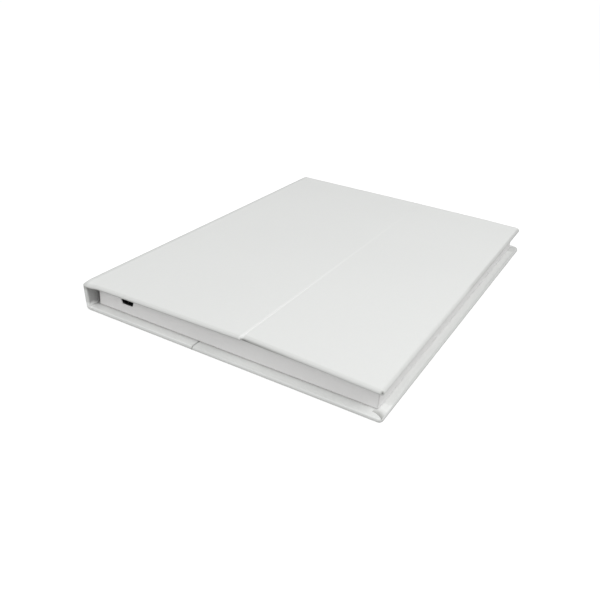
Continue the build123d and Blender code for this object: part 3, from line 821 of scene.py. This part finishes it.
RIM_DIRT_AND_SHADE = 0.3  # soil and painted shade on the covers' rims
HEAD_RIM_DARKENING = 0.25  # and darker still at the front cover's head edge
RIM_FADE = 1.4 * MM
UNDER_SHADE = 0.55  # painted shade just under the front cover's edge
UNDER_BAND = (0.1 * MM, 0.5 * MM)  # its level above the inner face, and its width
UNDER_REACH = 4.5 * MM  # in from the edge
PANEL_UNDER_SHADE = 0.3  # more of that painted shade at the front panel's tail end
FLAP_UNDER_SHADE = 0.6  # and at the flap's
FLAP_UNDER_RUN = (40 * MM, 38 * MM)  # fading to here, over this length
TAIL_DEPTH = 8 * MM  # points nearer to the tail belong to its rim
FORE_DEPTH = 6 * MM
FORE_RIM = 0.5 * MM
FOLD_DARKENING = 0.25  # darker along the fold of the front cover's spine
FOLD_DEPTH = 1.6 * MM  # from the top
FOLD_START = 0.4 * MM  # beyond the front panel
# Strength, place and width of other soil, painted shade, darkening and painted highlight
NOTCH_SHADE = (0.5, 2 * MM, 2.6 * MM)  # painted shade beside the crease, under the flap
FORE_EDGE_SHADE = (0.35, 0.4 * MM, 0.7 * MM)  # painted shade on the leg's fore edge near the floor
SEAM_SHADE = (0.9, 0.0, 0.25 * MM)  # painted shade in the leg's seam
DOT_DARKENING = (1.4, 0.0, 0.6 * MM)  # a dark spot at the flap's tail corner
DOT_INSETS = (0.6 * MM, 0.4 * MM)
CREASE_HIGHLIGHT = (0.75, 0.6 * MM, 0.7 * MM)  # a white painted highlight along the front crease
TOP_MARK_DEPTH = 1.2 * MM  # on the top face only
# Painted light whitens the back cover's turned-in paper: how much, and how much more at the corner
SPINE_PAINTED_LIGHT = (0.55, 0.4)
LEG_PAINTED_LIGHT = (0.1, 0.25)
FORE_PAINTED_LIGHT = 0.25
PAINTED_LIGHT_BAND = (0.3 * MM, 1 * MM)  # below and above the back cover's inner face
PAINTED_LIGHT_START = 1.0 * MM  # at the fore edge
PAINTED_LIGHT_END = 5.9 * MM
PAINTED_LIGHT_RUN = 16 * MM
PAINTED_LIGHT_PAST = 0.4 * MM  # the spine's painted light reaches this far past the back panel
LEG_PAINTED_LIGHT_START = 10 * MM


def under_shade(x, tail, fore):
    """How deep the painted shade is just under the front cover's edge."""
    if tail > TAIL_DEPTH:
        return UNDER_SHADE * ease(fore / FORE_DEPTH)
    if x <= CREASE + PAPER:
        return UNDER_SHADE + PANEL_UNDER_SHADE
    reach, run = FLAP_UNDER_RUN
    flap = FLAP_UNDER_SHADE * ease((CREASE + reach - x) / run)
    return UNDER_SHADE + flap + swell(x - CREASE, *NOTCH_SHADE)


def turn_in_painted_light(point, tail, fore):
    """How much painted light whitens the back cover's turned-in paper."""
    if not -PAINTED_LIGHT_BAND[0] < point.z - BACK_HIGH.z < PAINTED_LIGHT_BAND[1]:
        return 0.0
    if tail < PAINTED_LIGHT_END:
        if point.x < BACK_HIGH.x + PAINTED_LIGHT_PAST:
            return SPINE_PAINTED_LIGHT[0] + SPINE_PAINTED_LIGHT[1] * ease(1 - (point.x - SPINEWARD) / PAINTED_LIGHT_RUN)
        return LEG_PAINTED_LIGHT[0] + LEG_PAINTED_LIGHT[1] * ease(1 - (fore - LEG_PAINTED_LIGHT_START) / PAINTED_LIGHT_RUN)
    return FORE_PAINTED_LIGHT if PAINTED_LIGHT_START < fore < PAINTED_LIGHT_END else 0.0


def rim_dirt_shade_and_light(point):
    """Soil and painted shade on the rims of the covers, and painted light on the turned-in paper.
    """
    above = point.z > TOP / 2
    tail = point.y - TAIL - (draw_in(point.x, TAIL) if above else 0.0)
    fore = FORE + (0.0 if above else LEG_SLIP) - point.x
    edge = min(tail, fore, HEAD - point.y)
    near = ease(1.4 - edge / RIM_FADE)
    dirt_and_shade = RIM_DIRT_AND_SHADE * near
    # Painted shade just under the front cover's edge
    if edge < UNDER_REACH:
        level = point.z - front_lift(point.x, point.y) - FRONT_LOW.z
        dirt_and_shade += swell(level, under_shade(point.x, tail, fore), *UNDER_BAND)
    if above and point.y > 0:
        dirt_and_shade += HEAD_RIM_DARKENING * near
    # Darker along the fold of the front cover's spine
    if point.z > TOP - FOLD_DEPTH:
        dirt_and_shade += FOLD_DARKENING * ease((SPINEWARD - FOLD_START - point.x) / RIM_FADE)
    # Painted shade on the leg's fore edge near the floor
    if point.x > FORE - FORE_RIM and not above:
        dirt_and_shade += swell(point.z - BACK_LOW.z, *FORE_EDGE_SHADE)
    return turn_in_painted_light(point, tail, fore) - dirt_and_shade


def front_dirt_shade_and_highlight(point):
    """A white painted highlight along the front crease, and a dark spot at the fore corner."""
    if point.z < TOP - TOP_MARK_DEPTH:
        return rim_dirt_shade_and_light(point)
    # Painted highlight along the front crease
    dirt_shade_and_highlight = swell(point.x - CREASE, *CREASE_HIGHLIGHT) * tailward(point.y) ** 1.1
    far = hypot(point.x - FORE + DOT_INSETS[0], point.y - TAIL - DOT_INSETS[1])
    return dirt_shade_and_highlight - swell(far, *DOT_DARKENING) + rim_dirt_shade_and_light(point)


# ---- Covers ----


def wrap_piece(name, fill, body, replaced=(), mark=rim_dirt_shade_and_light, material=COVER_PAPER):
    """A piece of the case's wrap paper."""
    return make_piece(name, fill, material, body, replaced, mark)


def make_covers():
    """The wrap paper of the four flat panels, each over its own board."""
    front = (front_outer, front_inner, (FLAP_CORNER, CORNER_ROUND), FRONT_ROUNDS)
    back = (flat_outer, flat_inner, (LEG_CORNER, LEG_HEAD_CORNER), BACK_ROUNDS)
    for name, body, spineward, foreward, form, mark in (
        ("front_panel", "front_panel", SPINE_INSETS, CREASE_INSETS, front, front_dirt_shade_and_highlight),
        ("front_flap", "front_flap", CREASE_INSETS, None, front, front_dirt_shade_and_highlight),
        ("back_panel", "block", SPINE_INSETS, SEAM_INSETS, back, rim_dirt_shade_and_light),
        ("back_leg", "back_leg", SEAM_INSETS, None, back, rim_dirt_shade_and_light),
    ):
        low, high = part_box(name + "_wrap")
        if form is front:
            high.z = TOP
        moves = (draw_front,) if form is front else (turn_over, slip_back)
        flat = covered_board(low, high, spineward, foreward, *form)
        wrap_piece(name + "_paper", reshaped(flat, *moves), body, [name + "_wrap"], mark)


def bent_copy(node, move, material, body):
    """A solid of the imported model, cut into short lengths and bent to lie as its panel does."""
    low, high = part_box(node)

    def fill(shape):
        shape.from_mesh(frame["nodes"][node].data)
        for axis in (0, 1):
            direction = Vector((1 - axis, axis, 0))
            places = [low[axis] + cut for cut in CORE_CUTS]
            for place in places + spaced(low[axis], high[axis], GRID_STEP):
                cut_across(shape, direction * place, direction)
        for vertex in shape.verts:
            move(vertex.co)

    name = node.replace("_board", "_core").replace("_lining", "_sheet")
    return make_piece(name, fill, material, body, [node])


def make_cores():
    """Boards and linings that follow the papers."""
    for body, move in (
        ("front_panel", lift_front), ("front_flap", lift_front), ("back_leg", slip_core),
    ):
        bent_copy(body + "_board", move, GREYBOARD, body)
        bent_copy(body + "_lining", move, LINING_PAPER, body)


make_covers()
make_cores()


# ---- Paper joints ----


def grooved(low, high, depth):
    """Places across a joint, and the depth of its groove at each."""
    places = []
    for k in range(GROOVE_STEPS + 1):
        across = k / GROOVE_STEPS
        cut = depth * sin(pi * across) ** 0.8 if 0 < k < GROOVE_STEPS else 0.0
        places.append((low + (high - low) * across, cut))
    return places


def make_front_crease():
    """The front crease: pressed down outside and deeply inside."""
    sections = [
        ((x, TOP), (x, FRONT_LOW.z + cut)) for x, cut in grooved(CREASE, FLAP, CREASE_GROOVE)
    ]

    def shift(x, y, z, k):
        inset = end_inset(y)
        outside = z > (TOP + FRONT_LOW.z) / 2
        rise = front_outer(x, y, inset) if outside else front_lift(x, y) - bunched(x, y)
        return Vector((0, draw_in(x, y), rise))

    crease = wrap_piece(
        "front_crease_paper", wrapped_ends(sections, shift, FRONT_ROUNDS), None,
        ["front_crease_fold"], front_dirt_shade_and_highlight,
    )
    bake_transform(crease)


def make_leg_seam():
    """The seam between back panel and leg, cut deep on its inner face."""
    low, high = BACK_HIGH.x, LEG_LOW.x
    sections = [
        ((x, BACK_LOW.z + cut / 8), (x, BACK_HIGH.z - cut))
        for x, cut in grooved(low, high, SEAM_GROOVE)
    ]

    def shift(x, y, z, k):
        inset = end_inset(y)
        outside = z < (BACK_LOW.z + BACK_HIGH.z) / 2
        return Vector((0, -BACK_TURN * x, -flat_outer(x, y, inset) if outside else 0.0))

    # Painted shade darkens the seam's groove
    def dirt_and_shade(point):
        return rim_dirt_shade_and_light(point) - swell(point.x - (low + high) / 2, *SEAM_SHADE)

    seam = wrap_piece(
        "leg_seam_paper", wrapped_ends(sections, shift, BACK_ROUNDS), None,
        ["back_crease_fold"], dirt_and_shade,
    )
    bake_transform(seam)


def spine_shift(x, y, z):
    """How the spine leans, turns at its foot and is drawn in at its head."""
    up = min(1.0, max(0.0, z / TOP))
    lean = SPINE_LEAN_FOOT + (SPINE_LEAN_TOP - SPINE_LEAN_FOOT) * up ** 0.5
    outward = min(1.0, max(0.0, (SPINEWARD - PAPER - x) / HEAD_CAP))
    headward = ease((y - HEAD) / CAP_LENGTH + 1) * ease((z - CAP_START) / CAP_RISE)
    cap = HEAD_CAP * (1 - sqrt(max(0.0, 1 - outward * outward))) * headward
    return Vector((lean, -BACK_TURN * SPINEWARD * (1 - up) - cap, 0))


def fold_sections(spine_in):
    """The fan of sections round a fold at z 0, from the spine to the flat panel."""
    side = SPINE_LOW.x
    above, within, past = FOLD_LINES
    outer = [(side, FOLD_HEIGHT), (side, (FOLD_HEIGHT + FOLD_RADIUS) / 2 + above)]
    inner = [(spine_in, FOLD_HEIGHT), (spine_in, BOARD + within)]
    for k in range(FOLD_STEPS + 1):
        turn = pi / 2 * k / FOLD_STEPS
        outer.append((side + FOLD_RADIUS * (1 - cos(turn)), FOLD_RADIUS * (1 - sin(turn))))
        share = k / FOLD_STEPS
        inner.append((spine_in + FOLD_SLACK * share, BOARD + FOLD_SLACK * (1 - share)))
    outer += [(side + FOLD_RADIUS + past, 0.0), (SPINEWARD, 0.0)]
    inner += [((spine_in + FOLD_SLACK + SPINEWARD) / 2, BOARD), (SPINEWARD, BOARD)]
    return list(zip(outer, inner))


def make_spine():
    """The spine's paper and the two folds that carry it."""
    spine_in = SPINE_HIGH.x
    sections = fold_sections(spine_in)
    last = len(sections) - 1

    def foot_shift(x, y, z, k):
        share = ease((k - 2) / (last - 2))
        inset = end_inset(y)
        flat = back_slip(SPINEWARD, y)
        if z < BACK_HIGH.z / 2:
            flat.z -= flat_outer(x, y, inset)
        return spine_shift(x, y, z).lerp(flat, share)

    def top_shift(x, y, z, k):
        share = ease((k - 2) / (last - 2))
        inset = end_inset(y)
        rise = front_lift(SPINEWARD, y)
        if z > TOP - BACK_HIGH.z / 2:
            rise = front_outer(SPINEWARD, y, inset)
        sunk = tail_corner(y) * ease(k / 3) * (1 - share)
        return spine_shift(x, y, z) * (1 - share) + Vector((0, 0, rise * share - sunk))

    lower = wrap_piece(
        "lower_spine_paper", wrapped_ends(sections, foot_shift, FRONT_ROUNDS, BACK_ROUNDS), None,
        ["lower_spine_fold"],
    )
    over = [((ox, TOP - oz), (ix, TOP - iz)) for (ox, oz), (ix, iz) in sections]
    upper = wrap_piece(
        "upper_spine_paper", wrapped_ends(over, top_shift, FRONT_ROUNDS), None,
        ["upper_spine_fold"],
    )
    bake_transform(lower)
    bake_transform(upper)

    def shift(x, y, z, k):
        return spine_shift(x, y, z)

    top = TOP - FOLD_HEIGHT
    heights = [FOLD_HEIGHT] + spaced(FOLD_HEIGHT, top, SPINE_STEP) + [top]
    flat = [((SPINE_LOW.x, z), (spine_in, z)) for z in heights]
    # The spine paper's inner faces take the dark grey lining: painted shade
    wrap_piece(
        "spine_paper", wrapped_ends(flat, shift, FRONT_ROUNDS, inside_slot=1), "spine",
        ["spine_wrap"], material=[COVER_PAPER, SPINE_SHADE_LINING],
    )


def lean_spine(point):
    """Moves a point of the spine's lining with the spine."""
    point += spine_shift(SPINE_HIGH.x, point.y, point.z)


def make_spine_core():
    """The spine's board, mitred at both folds, and its lining."""
    low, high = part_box("spine_board")
    mitre = FOLD_HEIGHT + MITRE_GAP
    corner = mitre - (high.x - low.x) + MITRE_GAP
    outline = [(low.x, corner), (high.x, mitre), (high.x, TOP - mitre), (low.x, TOP - corner)]

    def fill(shape):
        rings = []
        tail = low.y + END_LAP
        head = high.y - END_LAP
        for y in [tail] + spaced(tail, head, GRID_STEP) + [head]:
            ring = []
            for x, z in outline:
                sunk = tail_corner(y) * ease((z - TOP + FOLD_HEIGHT) / CORE_BEND)
                ring.append(Vector((x, y, z - sunk)) + spine_shift(x, y, z))
            rings.append(new_ring(shape, ring))
        join_rings(shape, rings)

    make_piece("spine_core", fill, GREYBOARD, "spine", ["spine_board"])
    # The spine's lining is dark grey: painted shade
    bent_copy("spine_lining", lean_spine, SPINE_SHADE_LINING, "spine")


make_front_crease()
make_leg_seam()
make_spine()
make_spine_core()


# ---- Turned-in corners ----

TUCK_WIDTH = 5.5 * MM
TUCK_BACK = 12 * MM  # its start, in from the end
TUCK_THICK = 0.15 * MM
TUCK_ROOT = -0.1 * MM  # its underside
TUCK_STEPS = 10
TUCK_CLEAR = 0.02 * MM  # the cover's inner face against the tuck's level
FLAP_RIM = 0.9 * MM  # least free rim at the flap's fore edge
CUT_END = 3.4 * MM  # the cut end with painted shade, from the cover's end
CUT_PAINTED_SHADE = (0.7, 0.6)  # painted shade there, and what is added at the corner
# darkening all over a head tuck
HEAD_CUT_DARKENING = 0.25
# painted light on a tail tuck behind its cut end
TUCK_PAINTED_LIGHT = 0.7
# Side, +1 towards the head, the rim left free, and where the end's curve starts and how far it
# runs, in mm
TUCKS = (("tail", -1, 0.35 * MM, (3.1, 2.5)), ("head", 1, 1.3 * MM, (3.6, 1.6)))


def corner_tuck(name, body, slip, high, rim, toward, level, up, ends):
    """The fore-edge turn-in lying over the end one at a free corner, its end cut in a curve."""
    x_in = high.x - TUCK_WIDTH
    x_out = high.x - rim
    edge_y = toward * high.y
    back = edge_y - toward * TUCK_BACK

    def fill(shape):
        rings = []
        for k in range(TUCK_STEPS + 1):
            share = k / TUCK_STEPS
            x = x_in + (x_out - x_in) * share
            thick = TUCK_THICK * sin(pi * min(1.0, 0.12 + share * 0.8)) ** 0.7
            end = edge_y - toward * (ends[0] - ends[1] * share ** 2.2) * MM
            points = [(back, 0.0), ((back + end) / 2, thick), (end, thick)]
            points += [(end, TUCK_ROOT), (back, TUCK_ROOT)]
            rings.append(new_ring(shape, [(x, y, level + up * z) for y, z in points]))
        join_rings(shape, rings)

    def dirt_and_shade(point):
        """Painted shade darkens the cut end, most at the corner, and painted light whitens the
        paper behind it. A head tuck is darker all over.
        """
        if toward > 0:
            return -HEAD_CUT_DARKENING
        if point.y >= edge_y + CUT_END:
            return TUCK_PAINTED_LIGHT
        return -CUT_PAINTED_SHADE[0] - CUT_PAINTED_SHADE[1] * ease(part_way(point.x, x_in, x_out))

    wrap_piece(name, reshaped(fill, slip), body, mark=dirt_and_shade)


def make_tucks():
    """The tucks at the leg's and the flap's free corners."""
    for side, toward, rim, ends in TUCKS:
        corner_tuck(
            "leg_tuck_" + side, "back_leg", slip_back, LEG_HIGH, rim, toward,
            BACK_HIGH.z - TUCK_CLEAR, 1, ends,
        )
        corner_tuck(
            "flap_tuck_" + side, "front_flap", lift_front, FLAP_HIGH, max(rim, FLAP_RIM), toward,
            FLAP_LOW.z + TUCK_CLEAR, -1, ends,
        )


make_tucks()


# ---- Block ends and socket ----

SHEET = 0.14 * MM  # end paper on the block's wrap
SHEET_ROOT = 0.03 * MM  # sunk into the wrap
SHEET_FOOT = 0.04 * MM  # its gap at the foot
SHEET_HEAD = 0.3 * MM  # and at the top
SHEET_SIDES = (0.2 * MM, 0.12 * MM)
# Painted shade along the end paper's cut edges and its foot
SHEET_SHADE = 0.6
SEAM_WIDTH = 0.5 * MM
# height of the painted shade at the sheet's foot
FOOT_SHADE = 0.4 * MM
SOCKET_GAP = 0.12 * MM  # round the socket's shell
SOCKET_TAPER = 0.75 * MM


def end_sheet(name, y, outward, hole):
    """Paper glued over one end of the block, with a hole for the socket where one is given."""
    x0 = BLOCK_LOW.x + SHEET_SIDES[0]
    x1 = BLOCK_HIGH.x - SHEET_SIDES[1]
    z0 = BLOCK_LOW.z + SHEET_FOOT
    z1 = BLOCK_HIGH.z - SHEET_HEAD
    outline = [(x0, z0), (x1, z0), (x1, z1), (x0, z1)]

    def fill(shape):
        edges = []
        for loop in (outline, hole):
            ring = new_ring(shape, [(x, y + outward * SHEET, z) for x, z in loop])
            edges += [shape.edges.new((a, b)) for a, b in zip(ring, ring[1:] + ring[:1])]
        bmesh.ops.triangle_fill(shape, use_beauty=True, use_dissolve=False, edges=edges)
        grown = bmesh.ops.extrude_face_region(shape, geom=shape.faces[:])
        for item in grown["geom"]:
            if isinstance(item, bmesh.types.BMVert):
                item.co.y = y - outward * SHEET_ROOT
                if not any(abs(item.co.x - hx) < 1e-6 for hx, _ in hole):
                    item.co.x += copysign(SHEET_ROOT, -item.co.x)
        for spot, across in (
            ((x0 + SEAM_WIDTH, 0, 0), (1, 0, 0)),
            ((x1 - SEAM_WIDTH, 0, 0), (1, 0, 0)),
            ((0, 0, z0 + FOOT_SHADE), (0, 0, 1)),
        ):
            cut_across(shape, spot, across)

    def seam(point):
        """Painted shade darkens the sheet along its cut edges and its foot."""
        edge = min(point.x - x0, x1 - point.x) < SEAM_WIDTH / 2
        return -SHEET_SHADE if edge or point.z < z0 + FOOT_SHADE / 2 else 0.0

    wrap_piece(name, fill, "block", mark=seam, material=BLOCK_PAPER)


def socket_hole():
    """The outline of the socket's opening, wide side up."""
    low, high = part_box("usb_shell")
    middle = (low.x + high.x) / 2
    half = (high.x - low.x) / 2 + SOCKET_GAP
    foot = half - SOCKET_TAPER
    shoulder = high.z - (high.z - low.z) / 3
    low_z = low.z - SOCKET_GAP
    high_z = high.z + SOCKET_GAP
    return [
        (middle - foot, low_z), (middle + foot, low_z), (middle + half, shoulder),
        (middle + half, high_z), (middle - half, high_z), (middle - half, shoulder),
    ]


end_sheet("block_tail_paper", BLOCK_LOW.y, -1, socket_hole())
end_sheet("block_head_paper", BLOCK_HIGH.y, 1, [])


# ---- Buttons and speaker ----

CAP_SIDES = 40  # points round a button
CAP_FLANGE = 2.0 * MM  # height of its flange
CAP_FACE = 0.13 * MM  # depth of its dished face
# Radius and depth under the top, from the dish's face to the cap's side
CAP_PROFILE = (
    (1.3, 0.13), (2.3, 0.10), (2.9, 0.03), (3.1, 0.0), (3.25, 0.02), (3.4, 0.1), (3.5, 0.25)
)
INK_RISES = (-0.02 * MM, 0.05 * MM)  # a symbol's foot and face, from the dish's face
CLOTH_RADIUS = 10.6 * MM
CLOTH_RINGS = 9
CLOTH_SIDES = 32
CLOTH_SAG = 0.12 * MM
CLOTH_THICK = 0.1 * MM
CLOTH_DEPTH = 0.25 * MM  # under the face card's top


def bar(x0, y0, x1, y1):
    """A rectangle of a symbol."""
    return [(x0, y0), (x1, y0), (x1, y1), (x0, y1)]


# Outlines in mm, seen with the top of the button up
NEXT = [[(-1.3, -0.8), (-1.3, 0.8), (0.0, 0.0)], [(0.0, -0.8), (0.0, 0.8), (1.3, 0.0)]]
NEXT.append(bar(1.32, -0.8, 1.6, 0.8))
PLAY = [[(-1.3, -0.75), (-1.3, 0.75), (-0.05, 0.0)]]
PLAY += [bar(0.35, -0.75, 0.65, 0.75), bar(1.0, -0.75, 1.3, 0.75)]
MINUS = bar(-1.2, -0.2, 1.2, 0.2)
SYMBOLS = {
    "play": PLAY,
    "next": NEXT,
    "volume_up": [MINUS, bar(-0.2, 0.22, 0.2, 1.2), bar(-0.2, -1.2, 0.2, -0.22)],
    "volume_down": [MINUS],
    "previous": [[(-x, y) for x, y in part][::-1] for part in NEXT],
}


def middle_of(low, high):
    """The middle of a box, in plan."""
    return ((low.x + high.x) / 2, (low.y + high.y) / 2)


def make_button(name, parts):
    """A dished cap with its symbol, its top towards the fore edge."""
    low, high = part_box(name)
    centre = middle_of(low, high)
    face_z = high.z - CAP_FACE
    flange_z = low.z + CAP_FLANGE
    profile = [(r * MM, high.z - depth * MM) for r, depth in CAP_PROFILE]
    brim = (high.x - low.x) / 2
    profile += [(profile[-1][0], flange_z), (brim, flange_z), (brim, low.z)]

    def fill(shape):
        join_rings(shape, [new_ring(shape, circle(centre, r, z, CAP_SIDES)) for r, z in profile])
        plain = len(shape.faces)
        for part in parts:
            mark = [(centre[0] + y * MM, centre[1] - x * MM) for x, y in part]
            join_rings(shape, [
                new_ring(shape, [(x, y, face_z + rise) for x, y in mark]) for rise in INK_RISES
            ])
        shape.faces.ensure_lookup_table()
        for face in shape.faces[plain:]:
            face.material_index = 1

    make_piece(name.replace("button", "cap"), fill, [BUTTON, PRINT_INK], name, [name])


def make_speaker_cloth():
    """Thin dark cloth under the sound holes."""
    centre = middle_of(*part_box("speaker_frame"))
    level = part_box("face_card")[1].z - CLOTH_DEPTH

    def disc(shape):
        last = CLOTH_RINGS - 1
        upper = []
        for k in range(CLOTH_RINGS):
            radius = CLOTH_RADIUS * (k + 0.5) / (last + 0.5)
            sag = CLOTH_SAG * (1 - (k / last) ** 2)
            upper.append(circle(centre, radius, level - sag, CLOTH_SIDES))
        lower = [[(x, y, z - CLOTH_THICK) for x, y, z in ring] for ring in upper[::-1]]
        join_rings(shape, [new_ring(shape, ring) for ring in upper + lower])

    make_piece("speaker_cloth", disc, SPEAKER_CLOTH, "block")


for button_name, button_parts in SYMBOLS.items():
    make_button(button_name + "_button", button_parts)
make_speaker_cloth()


# ---- Floor, light and camera ----

FLOOR_GLOW = 1.39  # what the camera sees of the floor
FLOOR_SHADOW = 0.45  # and how much of the shadow it keeps
FLOOR_TONE = 0.42
FLOOR_GAP = 0.06 * MM
SKY_LIGHT = 0.57
SIDE_POWER = 1.75
FRONT_POWER = 3.1
LENS = 40.99
CAMERA_PLACE = (0.14958, -0.32042, 0.16677)
CAMERA_TURN = (62.3775, -3.9184, 29.7017)  # degrees


def seen_rays(tree):
    """1 for rays that come from the camera, a mirror-like surface or through glass."""
    path = add_node(tree, "LightPath").outputs
    seen = math_node(tree, "MAXIMUM", path["Is Camera Ray"], path["Is Glossy Ray"])
    return math_node(tree, "MAXIMUM", seen, path["Is Transmission Ray"])


def make_floor():
    """A plain pale floor that shows near white and keeps the object's shadow."""
    mesh = bpy.data.meshes.new("floor")
    shape = bmesh.new()
    bmesh.ops.create_grid(shape, x_segments=8, y_segments=8, size=4.0)
    shape.to_mesh(mesh)
    shape.free()
    floor = place_object("floor", mesh)
    floor.location.z = -FLOOR_GAP
    material, tree, shader = new_material("pale floor")
    tones = [(tone, tone, tone, 1) for tone in (FLOOR_TONE, FLOOR_TONE * 1.03)]
    tint = mix_colours(tree, noise(tree, own_place(tree), 3.0), *tones)
    for label, value in (("Roughness", 0.9), ("Specular IOR Level", 0.0), ("Base Color", tint)):
        feed(tree, shader.inputs[label], value)
    output = shader.outputs[0].links[0].to_node
    glow = add_node(tree, "Emission", Strength=FLOOR_GLOW)
    pale = add_node(tree, "BsdfDiffuse", Color=(0.95, 0.95, 0.95, 1))
    shown = mix_shaders(tree, FLOOR_SHADOW, glow, pale)
    pick = mix_shaders(tree, seen_rays(tree), shader, shown)
    feed(tree, output.inputs["Surface"], pick.outputs[0])
    mesh.materials.append(material)


def make_sky():
    """An even pale surround that shows white."""
    world = bpy.data.worlds.new("studio")
    bpy.context.scene.world = world
    world.use_nodes = True
    tree = world.node_tree
    tree.nodes.clear()
    light, backdrop = (
        add_node(tree, "Background", Color=(1, 1, 1, 1), Strength=strength)
        for strength in (SKY_LIGHT, 1.0)
    )
    pick = mix_shaders(tree, seen_rays(tree), light, backdrop)
    add_node(tree, "OutputWorld", Surface=pick.outputs[0])


def add_lamp(name, place, aim, size, power):
    """A square soft lamp that faces a point."""
    lamp = bpy.data.lights.new(name, "AREA")
    lamp.size = size
    lamp.energy = power
    holder = place_object(name, lamp)
    holder.location = place
    holder.rotation_euler = (Vector(aim) - Vector(place)).to_track_quat("-Z", "Y").to_euler()


def make_camera():
    """The camera."""
    camera = bpy.data.cameras.new("camera")
    camera.sensor_width = 36.0
    camera.lens = LENS
    camera.clip_start = 0.01
    camera.clip_end = 20.0
    holder = place_object("camera", camera)
    holder.location = CAMERA_PLACE
    holder.rotation_euler = Euler([radians(a) for a in CAMERA_TURN], "XYZ")
    bpy.context.scene.camera = holder


make_floor()
make_sky()
add_lamp("side_softbox", (0.45, -0.15, 0.55), (0.02, -0.02, 0.0), 0.35, SIDE_POWER)
add_lamp("front_softbox", (-0.25, -1.0, 0.6), (0.0, -0.05, 0.0), 0.7, FRONT_POWER)
make_camera()
bpy.context.scene.view_settings.view_transform = "Standard"
